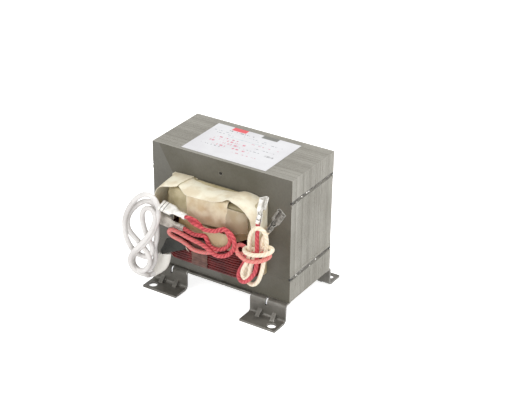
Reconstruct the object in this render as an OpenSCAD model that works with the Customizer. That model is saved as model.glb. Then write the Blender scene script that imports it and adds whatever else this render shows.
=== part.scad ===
// Microwave oven transformer: a welded E and I lamination core on a sheet steel plate with four feet,
// with its primary, filament and high-voltage windings, magnetic shunts and bundled leads.
// Origin at the centre of the four foot holes, on the floor. +X right, -Y to the lead side, +Z up.

/* [Core] */
// Width of the centre limb, that the windings sit on
tongue_w = 35; // [30:1:40]
// Width of each winding window
window_w = 17.5; // [16:0.5:22]
// Height of each winding window
window_h = 52.5; // [48:0.5:58]
// Width of each outer limb
limb_w = 17.5; // [14:0.5:22]
// Height of the E's back, above the windows
back_h = 17.5; // [14:0.5:22]
// Height of the I yoke, below the windows
yoke_h = 16.8; // [14:0.1:22]
// Depth of the lamination stack, front to back
stack_d = 51; // [45:1:60]
// Diameter of the pilot hole through the stack
pilot_d = 2.6; // [2:0.1:4]
// Depth of the pilot hole's axis below the top of the core
pilot_drop = 9.2; // [6:0.1:12]

/* [Welds] */
// Radius of the half-round weld grooves on the sides
groove_r = 1.3; // [0.8:0.1:1.8]
// Depth of the upper groove's axis below the top of the core
upper_groove_drop = 15.8; // [10:0.1:17]
// Length of open groove left at each end of a bead
bead_setback = 2.4; // [1:0.2:5]
// Height that a bead stands proud of the side
bead_crown = 0.5; // [0.2:0.1:0.9]
// Depth of the shallow relief on the sides, between the grooves
relief_depth = 0.3; // [0.1:0.1:0.8]
// Band left at full width beside each groove
relief_margin = 2; // [1:0.5:5]

/* [Mounting plate] */
// Height of the core above the floor
stand_h = 14.2; // [12:0.1:20]
// Thickness of the plate
plate_t = 1.5; // [1:0.1:2]
// Distance of each side of the plate in from the side of the core
plate_inset = 0.9; // [0:0.1:3]
// Distance of the plate's front and rear edges out from the core, between the feet
plate_out = 2.6; // [0.5:0.1:3]
// Depth of the recess in each side of the plate, between its feet
side_recess = 2.5; // [1:0.5:8]
// Distance of each end of a recess in from the core's front or rear face
recess_in = 3; // [2:0.5:10]
// Width of the notch beside each foot
notch_w = 0.6; // [0.4:0.1:2]
// Width of each foot
foot_w = 26.7; // [22:0.1:30]
// Distance of each web's outer face out from the core
web_out = 3.5; // [3:0.1:6]
// Inside radius of the upper bends
upper_bend_r = 1.5; // [1:0.1:2]
// Inside radius of the lower bends
lower_bend_r = 2; // [1:0.1:2.5]
// Distance between the foot holes, front to back
hole_pitch_y = 74; // [72:1:90]
// Diameter of each foot hole
foot_hole_d = 6; // [4:0.5:7]
// Distance of each foot hole's axis in from the plate's side
foot_hole_in = 5.1; // [4.5:0.1:8]
// Distance of each foot's outer edge out from its hole's axis
foot_edge = 4.7; // [4.2:0.1:8]
// Width of the slit in each upper bend
slit_w = 1.5; // [0.8:0.1:3]
// Distance of each slit towards the middle, from the foot's centre line
slit_shift = 1.2; // [0:0.1:4]
// Width of each pressed stiffening dart
dart_w = 3; // [2:0.1:4]
// Length of each dart along the foot and up the web
dart_leg = 4.2; // [3:0.1:5]
// Distance between the two darts of a foot
dart_pitch = 11; // [8:0.5:14]

/* [Windings] */
// Height of the primary winding
primary_h = 19.5; // [16:0.5:23]
// Distance that the end turns reach out from the core
overhang = 18; // [17:0.5:22]
// Radius of the end turns' outer corners
turn_r = 14; // [10:0.5:16]
// Clearance between a winding and the centre limb
limb_gap = 0.4; // [0.3:0.1:0.8]
// Clearance between a winding and its liner
liner_gap = 0.3; // [0.2:0.1:0.5]
// Thickness of the insulating paper
paper_t = 0.4; // [0.3:0.1:0.6]
// Diameter of the filament winding's insulated wire
filament_wire_d = 2.8; // [2:0.1:3.2]
// Number of filament turns, side by side
filament_turns = 2; // [1:1:4]
// Height of each magnetic shunt
shunt_h = 6; // [5:0.2:8]
// Gap between the primary winding and the shunts
shunt_gap = 1.2; // [0.6:0.1:2]
// Gap between the shunts and the filament winding
filament_gap = 0.8; // [0.3:0.1:2]
// Distance that a window liner stands out of the core
liner_out = 3; // [1:0.5:5]

/* [Covers and tapes] */
// Thickness of each tape
tape_t = 0.3; // [0.2:0.1:0.5]
// Width of the tape round the primary end turns
primary_tape_w = 12; // [8:1:20]
// Distance of the primary tape's centre to the left of the middle
primary_tape_shift = 4; // [0:1:8]
// Width of the tape down the high-voltage end turns
secondary_tape_w = 31; // [20:1:34]
// Distance of the high-voltage tape's centre to the right of the middle
secondary_tape_shift = 3; // [0:1:4]
// Height of the paper cover's skirt
skirt_h = 14; // [8:0.5:19]
// Clearance between a paper cover and the end turns
cover_gap = 0.3; // [0.2:0.1:0.5]
// Width of the dark insulating flap
flap_w = 22; // [15:1:24]
// Height of the dark insulating flap
flap_h = 15; // [10:1:17]

/* [Label] */
// Width of the blank label
label_w = 63; // [40:1:80]
// Distance of the label in from the core's front edge
label_front = 2.5; // [1:0.5:8]
// Distance of the label in from the core's rear edge
label_rear = 5.5; // [1:0.5:8]
// Thickness of the label
label_t = 0.2; // [0.1:0.1:0.5]

/* [Leads and terminals] */
// Diameter of the high-voltage lead
hv_lead_d = 3.5; // [3:0.1:5]
// Diameter of the filament leads
filament_lead_d = 2.8; // [2.2:0.1:3.4]
// Diameter of the primary leads
primary_lead_d = 2.7; // [2.2:0.1:3.4]
// Width of a push-on terminal's socket
socket_w = 7.6; // [6:0.1:8]
// Length of a push-on terminal's socket
socket_l = 9; // [7:0.1:10]
// Height of a push-on terminal's socket
socket_h = 2.8; // [2.2:0.1:3.4]
// Length of a push-on terminal's neck and crimp
crimp_l = 10.4; // [8:0.5:14]
// Diameter of a push-on terminal's crimp
crimp_d = 3.4; // [2.8:0.1:4]
// Thickness of the terminal's strip
terminal_t = 0.8; // [0.5:0.1:1]

/* [Hidden] */
$fn = 64;
SMOOTH_HULL = 32;
// A small overreach, so that cuts pass right through a face
CUT = 1;

// Core levels and faces
core_w = tongue_w + 2 * window_w + 2 * limb_w;
front_y = -stack_d / 2;
seam_z = stand_h + yoke_h;
window_top = seam_z + window_h;
core_top = window_top + back_h;
upper_groove_z = core_top - upper_groove_drop;
window_in = tongue_w / 2;
window_out = window_in + window_w;

// Winding levels, from the yoke upwards; the high-voltage winding fills the rest of the window
primary_z = seam_z + paper_t + liner_gap;
primary_top = primary_z + primary_h;
shunt_z = primary_top + shunt_gap;
filament_z = shunt_z + shunt_h + filament_gap;
secondary_z = filament_z + filament_wire_d + liner_gap;
secondary_top = window_top - paper_t - liner_gap;

// Winding outline
coil_in_x = window_in + limb_gap;
coil_in_y = stack_d / 2 + limb_gap;
coil_out_x = window_out - paper_t - liner_gap;
coil_out_y = stack_d / 2 + overhang;
coil_in_r = 2.4 * limb_gap;
filament_w = filament_turns * filament_wire_d;

// Mounting plate and feet
foot_x = core_w / 2 - plate_inset - foot_w / 2;
foot_in_x = foot_x - foot_w / 2;
hole_x = core_w / 2 - plate_inset - foot_hole_in;
web_y = stack_d / 2 + web_out;
bend_y = web_y - plate_t - upper_bend_r;
edge_y = stack_d / 2 + plate_out;
foot_y = hole_pitch_y / 2 + foot_edge;

// Cord routes: points chosen by hand, [x, y, z]
hv_exit_route = [[-30, -40.5, 64], [-32, -41.8, 65.1], [-33.5, -42.8, 66]];
filament_a_route = [
    [-9.5, -50, 69], [-5.2, -50.7, 68.6], [-1, -51.4, 67.8], [3.5, -52, 66.3], [5.8, -52.1, 65.6]
];
filament_a_run_route = [
    [5.5, -52, 53.8], [-3, -51.8, 55.3], [-10, -51.4, 56.3], [-16, -50.8, 57], [-21.5, -49.8, 56.5],
    [-24.3, -48.4, 53], [-22, -47, 50], [-17, -46.2, 48.5], [-12, -45.8, 46.5], [-7.5, -45.8, 44.5],
    [-2, -45.8, 44.5], [3.5, -45.8, 45.5], [8.5, -45.6, 47.5], [11.3, -45.6, 51], [12, -43.5, 55],
    [12, -37, 58.5], [12, -32, 60]
];
filament_b_route = [
    [-14, -46.5, 58], [-9.5, -47.2, 57.2], [-4.5, -47.9, 57], [0.5, -48.5, 58.3], [3.4, -48.7, 58.9]
];
filament_b_exit_route = [[17, -32, 60], [17, -36, 60], [16.5, -40, 60], [15, -44, 59], [14, -46.4, 60.4]];
primary_a_exit_route = [[24.5, -43.5, 50], [27, -44.3, 51.5], [29.8, -44, 52.5]];
primary_b_exit_route = [[28.4, -41, 45], [30.8, -43, 45.2], [31.8, -44.2, 43.8]];
primary_a_route = [[42.6, -48.7, 75], [42.5, -48.4, 80]];
primary_b_route = [[47.8, -46, 73.6], [48.7, -46.3, 75.2]];

// Outlines of the bundled loops: [x, z, radius] circles, front and back faces
hv_hank = [[-46.3, 66.5, 12.3], [-48, 50, 11.5], [-48, 24, 13]];
hv_hank_y = [-54, -44.2];
filament_hank = [[12, 59.5, 8.5], [19, 60, 9.5]];
filament_hank_y = [-54, -47.5];
primary_hank = [[42.1, 67, 8], [37.2, 41, 9]];
primary_wrap = [[33.5, 57.5, 6], [48, 59.5, 6]];
primary_hank_y = [-52.6, -45];
primary_wrap_y = [-55, -42.3];

// Tilt of each terminal, from +X, and its roll about its own length
filament_a_tilt = 188;
filament_a_roll = -45;
filament_b_tilt = 178;
filament_b_roll = 90;
primary_a_tilt = -82;
primary_a_roll = 47;
primary_b_tilt = -59;
primary_b_roll = 56;

// The boot on the high-voltage lead's end, behind its loops
boot_at = [-36, -39.3, 22];
boot_size = [20, 4.4, 9];
boot_tilt = -53;

// A rectangle with round corners, centred
module round_rect(w, d, r) {
    square([w - 2 * r, d], center = true);
    square([w, d - 2 * r], center = true);
    for (x = [-1, 1], y = [-1, 1])
        translate([x * (w / 2 - r), y * (d / 2 - r)]) circle(r);
}

// Outline of the end turns and the sides of a winding, grown by a clearance
module winding_outline(grow = 0) {
    round_rect(2 * (coil_out_x + grow), 2 * (coil_out_y + grow), turn_r + grow);
}

// A closed winding round the centre limb
module winding(height) {
    linear_extrude(height)
        difference() {
            winding_outline();
            round_rect(2 * coil_in_x, 2 * coil_in_y, coil_in_r);
        }
}

// A shape drawn in the Y-Z plane, extruded to both sides of X = 0
module along_x(width) {
    rotate([90, 0, 90]) linear_extrude(width, center = true) children();
}

// A shape drawn in the X-Z plane, extruded from y0 to y1
module along_y(y0, y1) {
    translate([0, y1, 0]) rotate([90, 0, 0]) linear_extrude(y1 - y0) children();
}

// A quarter of a sheet bend, centred on the bend's axis, sx and sy choose the quarter
module quarter_bend(inside_r, sx, sy) {
    outside_r = inside_r + plate_t;
    intersection() {
        difference() {
            circle(outside_r);
            circle(inside_r);
        }
        translate([min(0, sx * outside_r), min(0, sy * outside_r)]) square(outside_r);
    }
}

module weld_groove(side, z) {
    translate([side * core_w / 2, 0, z]) rotate([90, 0, 0])
        cylinder(h = stack_d + CUT, r = groove_r, center = true);
}

module side_relief(side) {
    low = seam_z + relief_margin + groove_r;
    high = upper_groove_z - relief_margin - groove_r;
    translate([side * core_w / 2 - relief_depth, -stack_d / 2 - CUT, low])
        mirror([side < 0 ? 1 : 0, 0, 0]) cube([relief_depth + CUT, stack_d + 2 * CUT, high - low]);
}

module core_e_stack() {
    color([0.55, 0.53, 0.49])
        difference() {
            translate([-core_w / 2, front_y, seam_z]) cube([core_w, stack_d, core_top - seam_z]);
            for (side = [-1, 1]) {
                translate([side * (window_in + window_out) / 2 - window_w / 2, front_y - CUT, seam_z - CUT])
                    cube([window_w, stack_d + 2 * CUT, window_h + CUT]);
                weld_groove(side, seam_z);
                weld_groove(side, upper_groove_z);
                side_relief(side);
            }
            translate([0, 0, core_top - pilot_drop]) rotate([90, 0, 0])
                cylinder(h = stack_d + 2 * CUT, d = pilot_d, center = true);
        }
}

module core_i_yoke() {
    color([0.53, 0.51, 0.47])
        difference() {
            translate([-core_w / 2, front_y, stand_h]) cube([core_w, stack_d, yoke_h]);
            for (side = [-1, 1]) weld_groove(side, seam_z);
        }
}

// A weld bead that fills its groove and stands a little proud of the side
module weld_bead(side, z) {
    bead_l = stack_d - 2 * bead_setback;
    color([0.38, 0.37, 0.35])
        intersection() {
            translate([side * core_w / 2, 0, z]) rotate([90, 0, 0])
                cylinder(h = bead_l, r = groove_r, center = true);
            translate([side * (core_w / 2 + bead_crown - groove_r), 0, z])
                cube([2 * groove_r, bead_l + CUT, 2 * groove_r + CUT], center = true);
        }
}

// Side outline of the front half of the plate, through a foot
module plate_half() {
    upper_z = stand_h - plate_t - upper_bend_r;
    lower_z = plate_t + lower_bend_r;
    lower_y = web_y + lower_bend_r;
    translate([-bend_y, stand_h - plate_t]) square([bend_y, plate_t]);
    translate([-bend_y, upper_z]) quarter_bend(upper_bend_r, -1, 1);
    translate([-web_y, lower_z]) square([plate_t, upper_z - lower_z]);
    translate([-lower_y, lower_z]) quarter_bend(lower_bend_r, 1, -1);
    translate([-foot_y, 0]) square([foot_y - lower_y, plate_t]);
}

module dart_outline() {
    polygon([
        [-web_y + plate_t / 2, plate_t / 2], [-web_y - dart_leg, plate_t / 2], [-web_y - dart_leg, plate_t],
        [-web_y, plate_t + dart_leg], [-web_y + plate_t / 2, plate_t + dart_leg]
    ]);
}

// The flat sheet between the left and the right feet, notched beside each bend
module plate_sheet() {
    lap_x = foot_in_x + CUT;
    lap_y = min(bend_y, edge_y);
    tongue_x = foot_in_x - notch_w;
    translate([-lap_x, -lap_y, stand_h - plate_t]) cube([2 * lap_x, 2 * lap_y, plate_t]);
    translate([-tongue_x, -edge_y, stand_h - plate_t]) cube([2 * tongue_x, 2 * edge_y, plate_t]);
}

// The recess in one side of the plate, between its front and rear feet
module plate_recess(side) {
    length = stack_d - 2 * recess_in;
    translate([side * (core_w / 2 - plate_inset), 0, stand_h - plate_t / 2])
        cube([2 * side_recess, length, plate_t + 2 * CUT], center = true);
}

// One sheet steel plate under the core, with a foot bent down at each corner
module mounting_plate() {
    color([0.34, 0.32, 0.3])
        difference() {
            union() {
                plate_sheet();
                for (side = [-1, 1], turn = [0, 1])
                    translate([side * foot_x, 0, 0]) mirror([0, turn, 0]) {
                        along_x(foot_w) plate_half();
                        for (x = [-1, 1])
                            translate([x * dart_pitch / 2, 0, 0]) along_x(dart_w) dart_outline();
                    }
            }
            for (side = [-1, 1]) plate_recess(side);
            for (side = [-1, 1], end = [-1, 1]) {
                translate([side * hole_x, end * hole_pitch_y / 2, -CUT])
                    cylinder(h = plate_t + 2 * CUT, d = foot_hole_d);
                translate([side * (foot_x - slit_shift), end * (stack_d / 2 + web_out / 2 + CUT / 2),
                           stand_h - plate_t - upper_bend_r + CUT])
                    cube([slit_w, web_out + CUT, 2 * (plate_t + upper_bend_r)], center = true);
            }
        }
}

module label_plate() {
    color([0.93, 0.92, 0.93])
        translate([-label_w / 2, front_y + label_front, core_top])
            cube([label_w, stack_d - label_front - label_rear, label_t]);
}

module primary_winding() {
    color([0.42, 0.16, 0.15]) translate([0, 0, primary_z]) winding(primary_h);
}

// A tape folded round the end turns of the primary, end is -1 at the front
module primary_tape(end) {
    outer_y = coil_out_y + tape_t;
    lap = overhang * 0.6;
    color([0.55, 0.45, 0.38])
        translate([-primary_tape_shift, 0, 0])
            mirror([0, end > 0 ? 1 : 0, 0])
                along_x(primary_tape_w)
                    difference() {
                        translate([-outer_y, primary_z - tape_t]) square([lap, primary_h + 2 * tape_t]);
                        translate([-coil_out_y, primary_z]) square([lap + CUT, primary_h]);
                    }
}

module secondary_winding() {
    color([0.82, 0.76, 0.62]) translate([0, 0, secondary_z]) winding(secondary_top - secondary_z);
}

// A paper cap over the secondary end turns, end is -1 at the front
module paper_cover(end) {
    low = secondary_top - skirt_h;
    grow = cover_gap + paper_t;
    color([0.88, 0.84, 0.72])
        mirror([0, end > 0 ? 1 : 0, 0])
            intersection() {
                difference() {
                    translate([0, 0, low]) linear_extrude(skirt_h + grow) winding_outline(grow);
                    translate([0, 0, low - CUT]) linear_extrude(skirt_h + cover_gap + CUT)
                        winding_outline(cover_gap);
                }
                translate([-core_w / 2, -coil_out_y - 2 * grow, low - CUT])
                    cube([core_w, overhang - liner_out + 2 * grow, skirt_h + grow + 2 * CUT]);
            }
}

// A tape down the front of a paper cover, end is -1 at the front
module secondary_tape(end) {
    face_y = coil_out_y + cover_gap + paper_t;
    left_x = secondary_tape_shift - secondary_tape_w / 2;
    color([0.84, 0.79, 0.64])
        mirror([0, end > 0 ? 1 : 0, 0])
            translate([left_x, -face_y - tape_t, secondary_top - skirt_h])
                cube([secondary_tape_w, tape_t, skirt_h + cover_gap]);
}

// A paper channel that lines one window round the windings
module window_liner(side) {
    liner_l = stack_d + 2 * liner_out;
    color([0.72, 0.66, 0.52])
        mirror([side < 0 ? 1 : 0, 0, 0])
            along_y(-liner_l / 2, liner_l / 2)
                difference() {
                    translate([window_in, seam_z]) square([window_w, window_h]);
                    translate([window_in - CUT, seam_z + paper_t])
                        square([window_w + CUT - paper_t, window_h - 2 * paper_t]);
                }
}

module magnetic_shunt(side) {
    shunt_w = window_w - paper_t - limb_gap;
    color([0.3, 0.29, 0.28])
        mirror([side < 0 ? 1 : 0, 0, 0])
            translate([window_in + limb_gap, front_y, shunt_z]) cube([shunt_w, stack_d, shunt_h]);
}

// Filament turns, side by side round the centre limb
module filament_winding() {
    color([0.72, 0.2, 0.2])
        for (turn = [0 : filament_turns - 1]) {
            inner = turn * filament_wire_d;
            outer = inner + filament_wire_d;
            translate([0, 0, filament_z])
                linear_extrude(filament_wire_d)
                    difference() {
                        round_rect(2 * (coil_in_x + outer), 2 * (coil_in_y + outer), coil_in_r + outer);
                        round_rect(2 * (coil_in_x + inner), 2 * (coil_in_y + inner), coil_in_r + inner);
                    }
        }
}

// A dark flap of insulating paper on the left of the primary end turns
module primary_flap() {
    right_x = -primary_tape_shift - primary_tape_w / 2 - cover_gap;
    top_z = primary_top - 2 * paper_t;
    color([0.2, 0.21, 0.19])
        along_y(-coil_out_y - paper_t, -coil_out_y)
            polygon([[right_x, top_z - paper_t], [right_x - flap_w + flap_h / 3, top_z],
                     [right_x - flap_w, top_z - flap_h]]);
}

// Heading of a route at one of its points
function unit(v) = v / norm(v);
function heading(route, i) =
    unit(route[min(i + 1, len(route) - 1)] - route[max(i - 1, 0)]);

// Points of a ring round a route, turned by a direction that the route never takes
function ring(centre, along, r, sides, aside) =
    let (across = unit(cross(along, aside)), up = cross(across, along))
        [for (k = [0 : sides - 1]) let (a = 360 * k / sides) centre + r * (cos(a) * across + sin(a) * up)];

// A closed tube with flat ends, swept along a route's own points
module tube(route, d, sides = 8, aside = [0, 1, 0]) {
    rings = len(route);
    points = [for (i = [0 : rings - 1]) each ring(route[i], heading(route, i), d / 2, sides, aside)];
    sides_faces = [
        for (i = [0 : rings - 2], k = [0 : sides - 1])
            let (a = i * sides + k, b = i * sides + (k + 1) % sides)
                each [[a, b, b + sides], [a, b + sides, a + sides]]
    ];
    first = [for (k = [sides - 1 : -1 : 0]) k];
    last = [for (k = [0 : sides - 1]) (rings - 1) * sides + k];
    polyhedron(points, concat(sides_faces, [first, last]), convexity = 6);
}

// The closed outer shape of a bundle of loops, from its [x, z, radius] circles
module bundle(circles, faces) {
    along_y(faces[0], faces[1])
        hull() for (c = circles) translate([c[0], c[1]]) circle(c[2], $fn = SMOOTH_HULL);
}

// A push-on terminal, its crimp mouth at the origin and its socket along +X
module push_on_terminal() {
    color([0.8, 0.8, 0.8]) {
        rotate([0, 90, 0]) cylinder(h = crimp_l, d = crimp_d);
        translate([crimp_l, -socket_w / 2, -socket_h / 2]) cube([socket_l, socket_w, socket_h]);
    }
}

// A terminal at the end of its lead
module set_terminal(at, tilt, roll) {
    translate(at)
        rotate([0, tilt, 0])
            rotate([roll, 0, 0])
                push_on_terminal();
}

module hv_lead_exit() { color([0.95, 0.95, 0.95]) tube(hv_exit_route, hv_lead_d); }
module hv_lead_hank() { color([0.95, 0.95, 0.95]) bundle(hv_hank, hv_hank_y); }
module hv_lead_boot() {
    color([0.95, 0.95, 0.93]) translate(boot_at) rotate([0, boot_tilt, 0]) cube(boot_size, center = true);
}
module filament_lead_a_tail() { color([0.85, 0.25, 0.3]) tube(filament_a_route, filament_lead_d); }
module filament_lead_b_tail() { color([0.85, 0.25, 0.3]) tube(filament_b_route, filament_lead_d); }
module filament_lead_a_run() { color([0.85, 0.3, 0.35]) tube(filament_a_run_route, filament_lead_d); }
module filament_lead_b_exit() {
    color([0.85, 0.3, 0.35]) tube(filament_b_exit_route, filament_lead_d, aside = [1, 0, 0]);
}
module filament_lead_hank() { color([0.85, 0.25, 0.3]) bundle(filament_hank, filament_hank_y); }
module filament_terminal_a() {
    set_terminal(filament_a_route[0], filament_a_tilt, filament_a_roll);
}
module filament_terminal_b() {
    set_terminal(filament_b_route[0], filament_b_tilt, filament_b_roll);
}
module primary_lead_a_exit() { color([0.9, 0.5, 0.5]) tube(primary_a_exit_route, primary_lead_d); }
module primary_lead_b_exit() { color([0.93, 0.88, 0.78]) tube(primary_b_exit_route, primary_lead_d); }
module primary_lead_hank() {
    color([0.93, 0.88, 0.78]) {
        bundle(primary_hank, primary_hank_y);
        bundle(primary_wrap, primary_wrap_y);
    }
}
module primary_lead_a_tail() { color([0.85, 0.25, 0.3]) tube(primary_a_route, primary_lead_d); }
module primary_lead_b_tail() { color([0.93, 0.88, 0.78]) tube(primary_b_route, primary_lead_d); }
module primary_terminal_a() {
    set_terminal(primary_a_route[1], primary_a_tilt, primary_a_roll);
}
module primary_terminal_b() {
    set_terminal(primary_b_route[1], primary_b_tilt, primary_b_roll);
}

core_e_stack();
core_i_yoke();
weld_bead(-1, upper_groove_z);  // weld_bead_upper_left
weld_bead(1, upper_groove_z);  // weld_bead_upper_right
weld_bead(-1, seam_z);  // weld_bead_lower_left
weld_bead(1, seam_z);  // weld_bead_lower_right
mounting_plate();
label_plate();
primary_winding();
primary_tape(-1);  // primary_tape_front
primary_tape(1);  // primary_tape_rear
secondary_winding();
secondary_tape(-1);  // secondary_tape_front
secondary_tape(1);  // secondary_tape_rear
paper_cover(-1);  // paper_cover_front
paper_cover(1);  // paper_cover_rear
window_liner(-1);  // window_liner_left
window_liner(1);  // window_liner_right
magnetic_shunt(-1);  // magnetic_shunt_left
magnetic_shunt(1);  // magnetic_shunt_right
filament_winding();
primary_flap();
hv_lead_exit();
hv_lead_hank();
hv_lead_boot();
filament_lead_a_run();
filament_lead_a_tail();
filament_terminal_a();
filament_lead_b_exit();
filament_lead_b_tail();
filament_terminal_b();
filament_lead_hank();
primary_lead_a_exit();
primary_lead_a_tail();
primary_terminal_a();
primary_lead_b_exit();
primary_lead_b_tail();
primary_terminal_b();
primary_lead_hank();
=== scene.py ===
"""Looks of a microwave oven transformer: a welded lamination core with its windings and leads.

The frame is the CAD model's: +X right, -Y to the lead side, +Z up, with the origin on the floor in
the middle of the foot holes. Meshes and the studio are in metres. The sizes, routes and nets that
the pieces are drawn from are in millimetres.
"""

import logging
import math
from dataclasses import dataclass, field
from enum import Enum
from typing import Callable, Sequence

import bmesh
import bpy
import numpy as np
from mathutils import Matrix, Vector, noise
from mathutils.geometry import tessellate_polygon


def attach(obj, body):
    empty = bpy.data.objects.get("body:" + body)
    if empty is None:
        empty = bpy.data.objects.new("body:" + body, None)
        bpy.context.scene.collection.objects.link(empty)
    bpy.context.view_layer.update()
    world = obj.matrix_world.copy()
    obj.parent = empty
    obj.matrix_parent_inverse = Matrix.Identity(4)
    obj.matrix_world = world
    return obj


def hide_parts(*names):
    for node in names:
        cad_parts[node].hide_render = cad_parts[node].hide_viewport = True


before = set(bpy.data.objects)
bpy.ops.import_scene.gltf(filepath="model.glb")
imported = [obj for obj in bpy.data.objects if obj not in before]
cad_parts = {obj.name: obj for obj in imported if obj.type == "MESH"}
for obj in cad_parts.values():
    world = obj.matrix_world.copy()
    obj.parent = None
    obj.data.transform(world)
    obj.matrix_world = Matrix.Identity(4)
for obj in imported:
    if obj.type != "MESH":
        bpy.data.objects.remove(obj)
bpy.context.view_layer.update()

MM = 0.001
TURN = 2 * math.pi
Colour = tuple[float, float, float, float]
Point = tuple[float, float, float]
Socket = bpy.types.NodeSocket
Row = Sequence[Point]
BLACK: Colour = (0.0, 0.0, 0.0, 1.0)
log = logging.getLogger("transformer")


def tint(code: str) -> Colour:
    """Turns a display colour into the linear colour that shaders use.

    Args:
        code: Six hexadecimal digits, red, green and blue.

    Returns:
        The linear colour with full alpha.
    """
    parts = [int(code[i:i + 2], 16) / 255 for i in (0, 2, 4)]
    linear = [p / 12.92 if p < 0.04045 else ((p + 0.055) / 1.055) ** 2.4 for p in parts]
    return (linear[0], linear[1], linear[2], 1.0)


# ---------------------------------------------------------------- curves and nets


def fair(points: np.ndarray, count: int) -> np.ndarray:
    """Runs a smooth curve through points, along their first axis.

    Args:
        points: Points or rows of points.
        count: Number of samples wanted along the first axis.

    Returns:
        The samples, evenly spaced in the points' own numbering.
    """
    ends = (2 * points[:1] - points[1:2], points, 2 * points[-1:] - points[-2:-1])
    padded = np.concatenate(ends)
    at = np.linspace(0, len(points) - 1, count)
    first = np.minimum(at.astype(int), len(points) - 2)
    f = (at - first).reshape((-1,) + (1,) * (points.ndim - 1))
    a, b, c, d = (padded[first + k] for k in range(4))
    return 0.5 * (
        2 * b + (c - a) * f + (2 * a - 5 * b + 4 * c - d) * f**2 + (3 * b - 3 * c + d - a) * f**3
    )


def evenly(curve: np.ndarray, step: float) -> np.ndarray:
    """Spaces the points of a curve evenly.

    Args:
        curve: Points along the curve.
        step: Distance wanted between points.

    Returns:
        The evenly spaced points, with both ends kept.
    """
    run = np.concatenate([[0], np.cumsum(np.linalg.norm(np.diff(curve, axis=0), axis=1))])
    at = np.linspace(0, run[-1], max(2, round(run[-1] / step)))
    return np.stack([np.interp(at, run, curve[:, k]) for k in range(3)], axis=1)


def length_of(curve: np.ndarray) -> float:
    """Length of a curve of points."""
    return float(np.linalg.norm(np.diff(curve, axis=0), axis=1).sum())


def net(rows: Sequence[Row], across: int, along: int) -> np.ndarray:
    """Grid of points, in metres, on a smooth surface through rows of points in millimetres."""
    grid = fair(np.array(rows, float) * MM, across)
    return fair(grid.transpose(1, 0, 2), along).transpose(1, 0, 2)


def at_depth(y: float, *points: tuple[float, float]) -> Row:
    """Row of a net at one depth, from its points' X and Z."""
    return [(x, y, z) for x, z in points]


def ring_angles(count: int) -> np.ndarray:
    """Angles of evenly spaced points round a full turn."""
    return np.arange(count) / count * TURN


def round_outline(half_x: float, half_y: float, radius: float, corner: int,
                  side: int) -> np.ndarray:
    """Outline of a rectangle with round corners, counter-clockwise from its right side.

    Args:
        half_x: Half of its width.
        half_y: Half of its depth.
        radius: Radius of the corners.
        corner: Points in each corner.
        side: Points along each side, between corners.

    Returns:
        Points in the X-Y plane.
    """
    corners = []
    for k, (sx, sy) in enumerate(((1, 1), (-1, 1), (-1, -1), (1, -1))):
        turn = np.linspace(k, k + 1, corner) * math.pi / 2
        middle = np.array([sx * (half_x - radius), sy * (half_y - radius)])
        corners.append(middle + radius * np.stack([np.cos(turn), np.sin(turn)], axis=1))
    loop = []
    for this, following in zip(corners, corners[1:] + corners[:1]):
        loop += [this, np.linspace(this[-1], following[0], side + 2)[1:-1]]
    return np.concatenate(loop)


def wobble(count: int, rng: np.random.Generator, size: float, orders: Sequence[int]) -> np.ndarray:
    """A smooth random ripple that closes on itself.

    Args:
        count: Number of samples round the loop.
        rng: Source of the random phases.
        size: Height of the ripple.
        orders: Waves round the loop in each part of the ripple.

    Returns:
        One value for each sample.
    """
    turn = ring_angles(count)
    parts = [np.sin(order * turn + rng.uniform(0, TURN)) for order in orders]
    return size * np.sum(parts, axis=0) / len(orders)


# ---------------------------------------------------------------- mesh drafts


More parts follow.
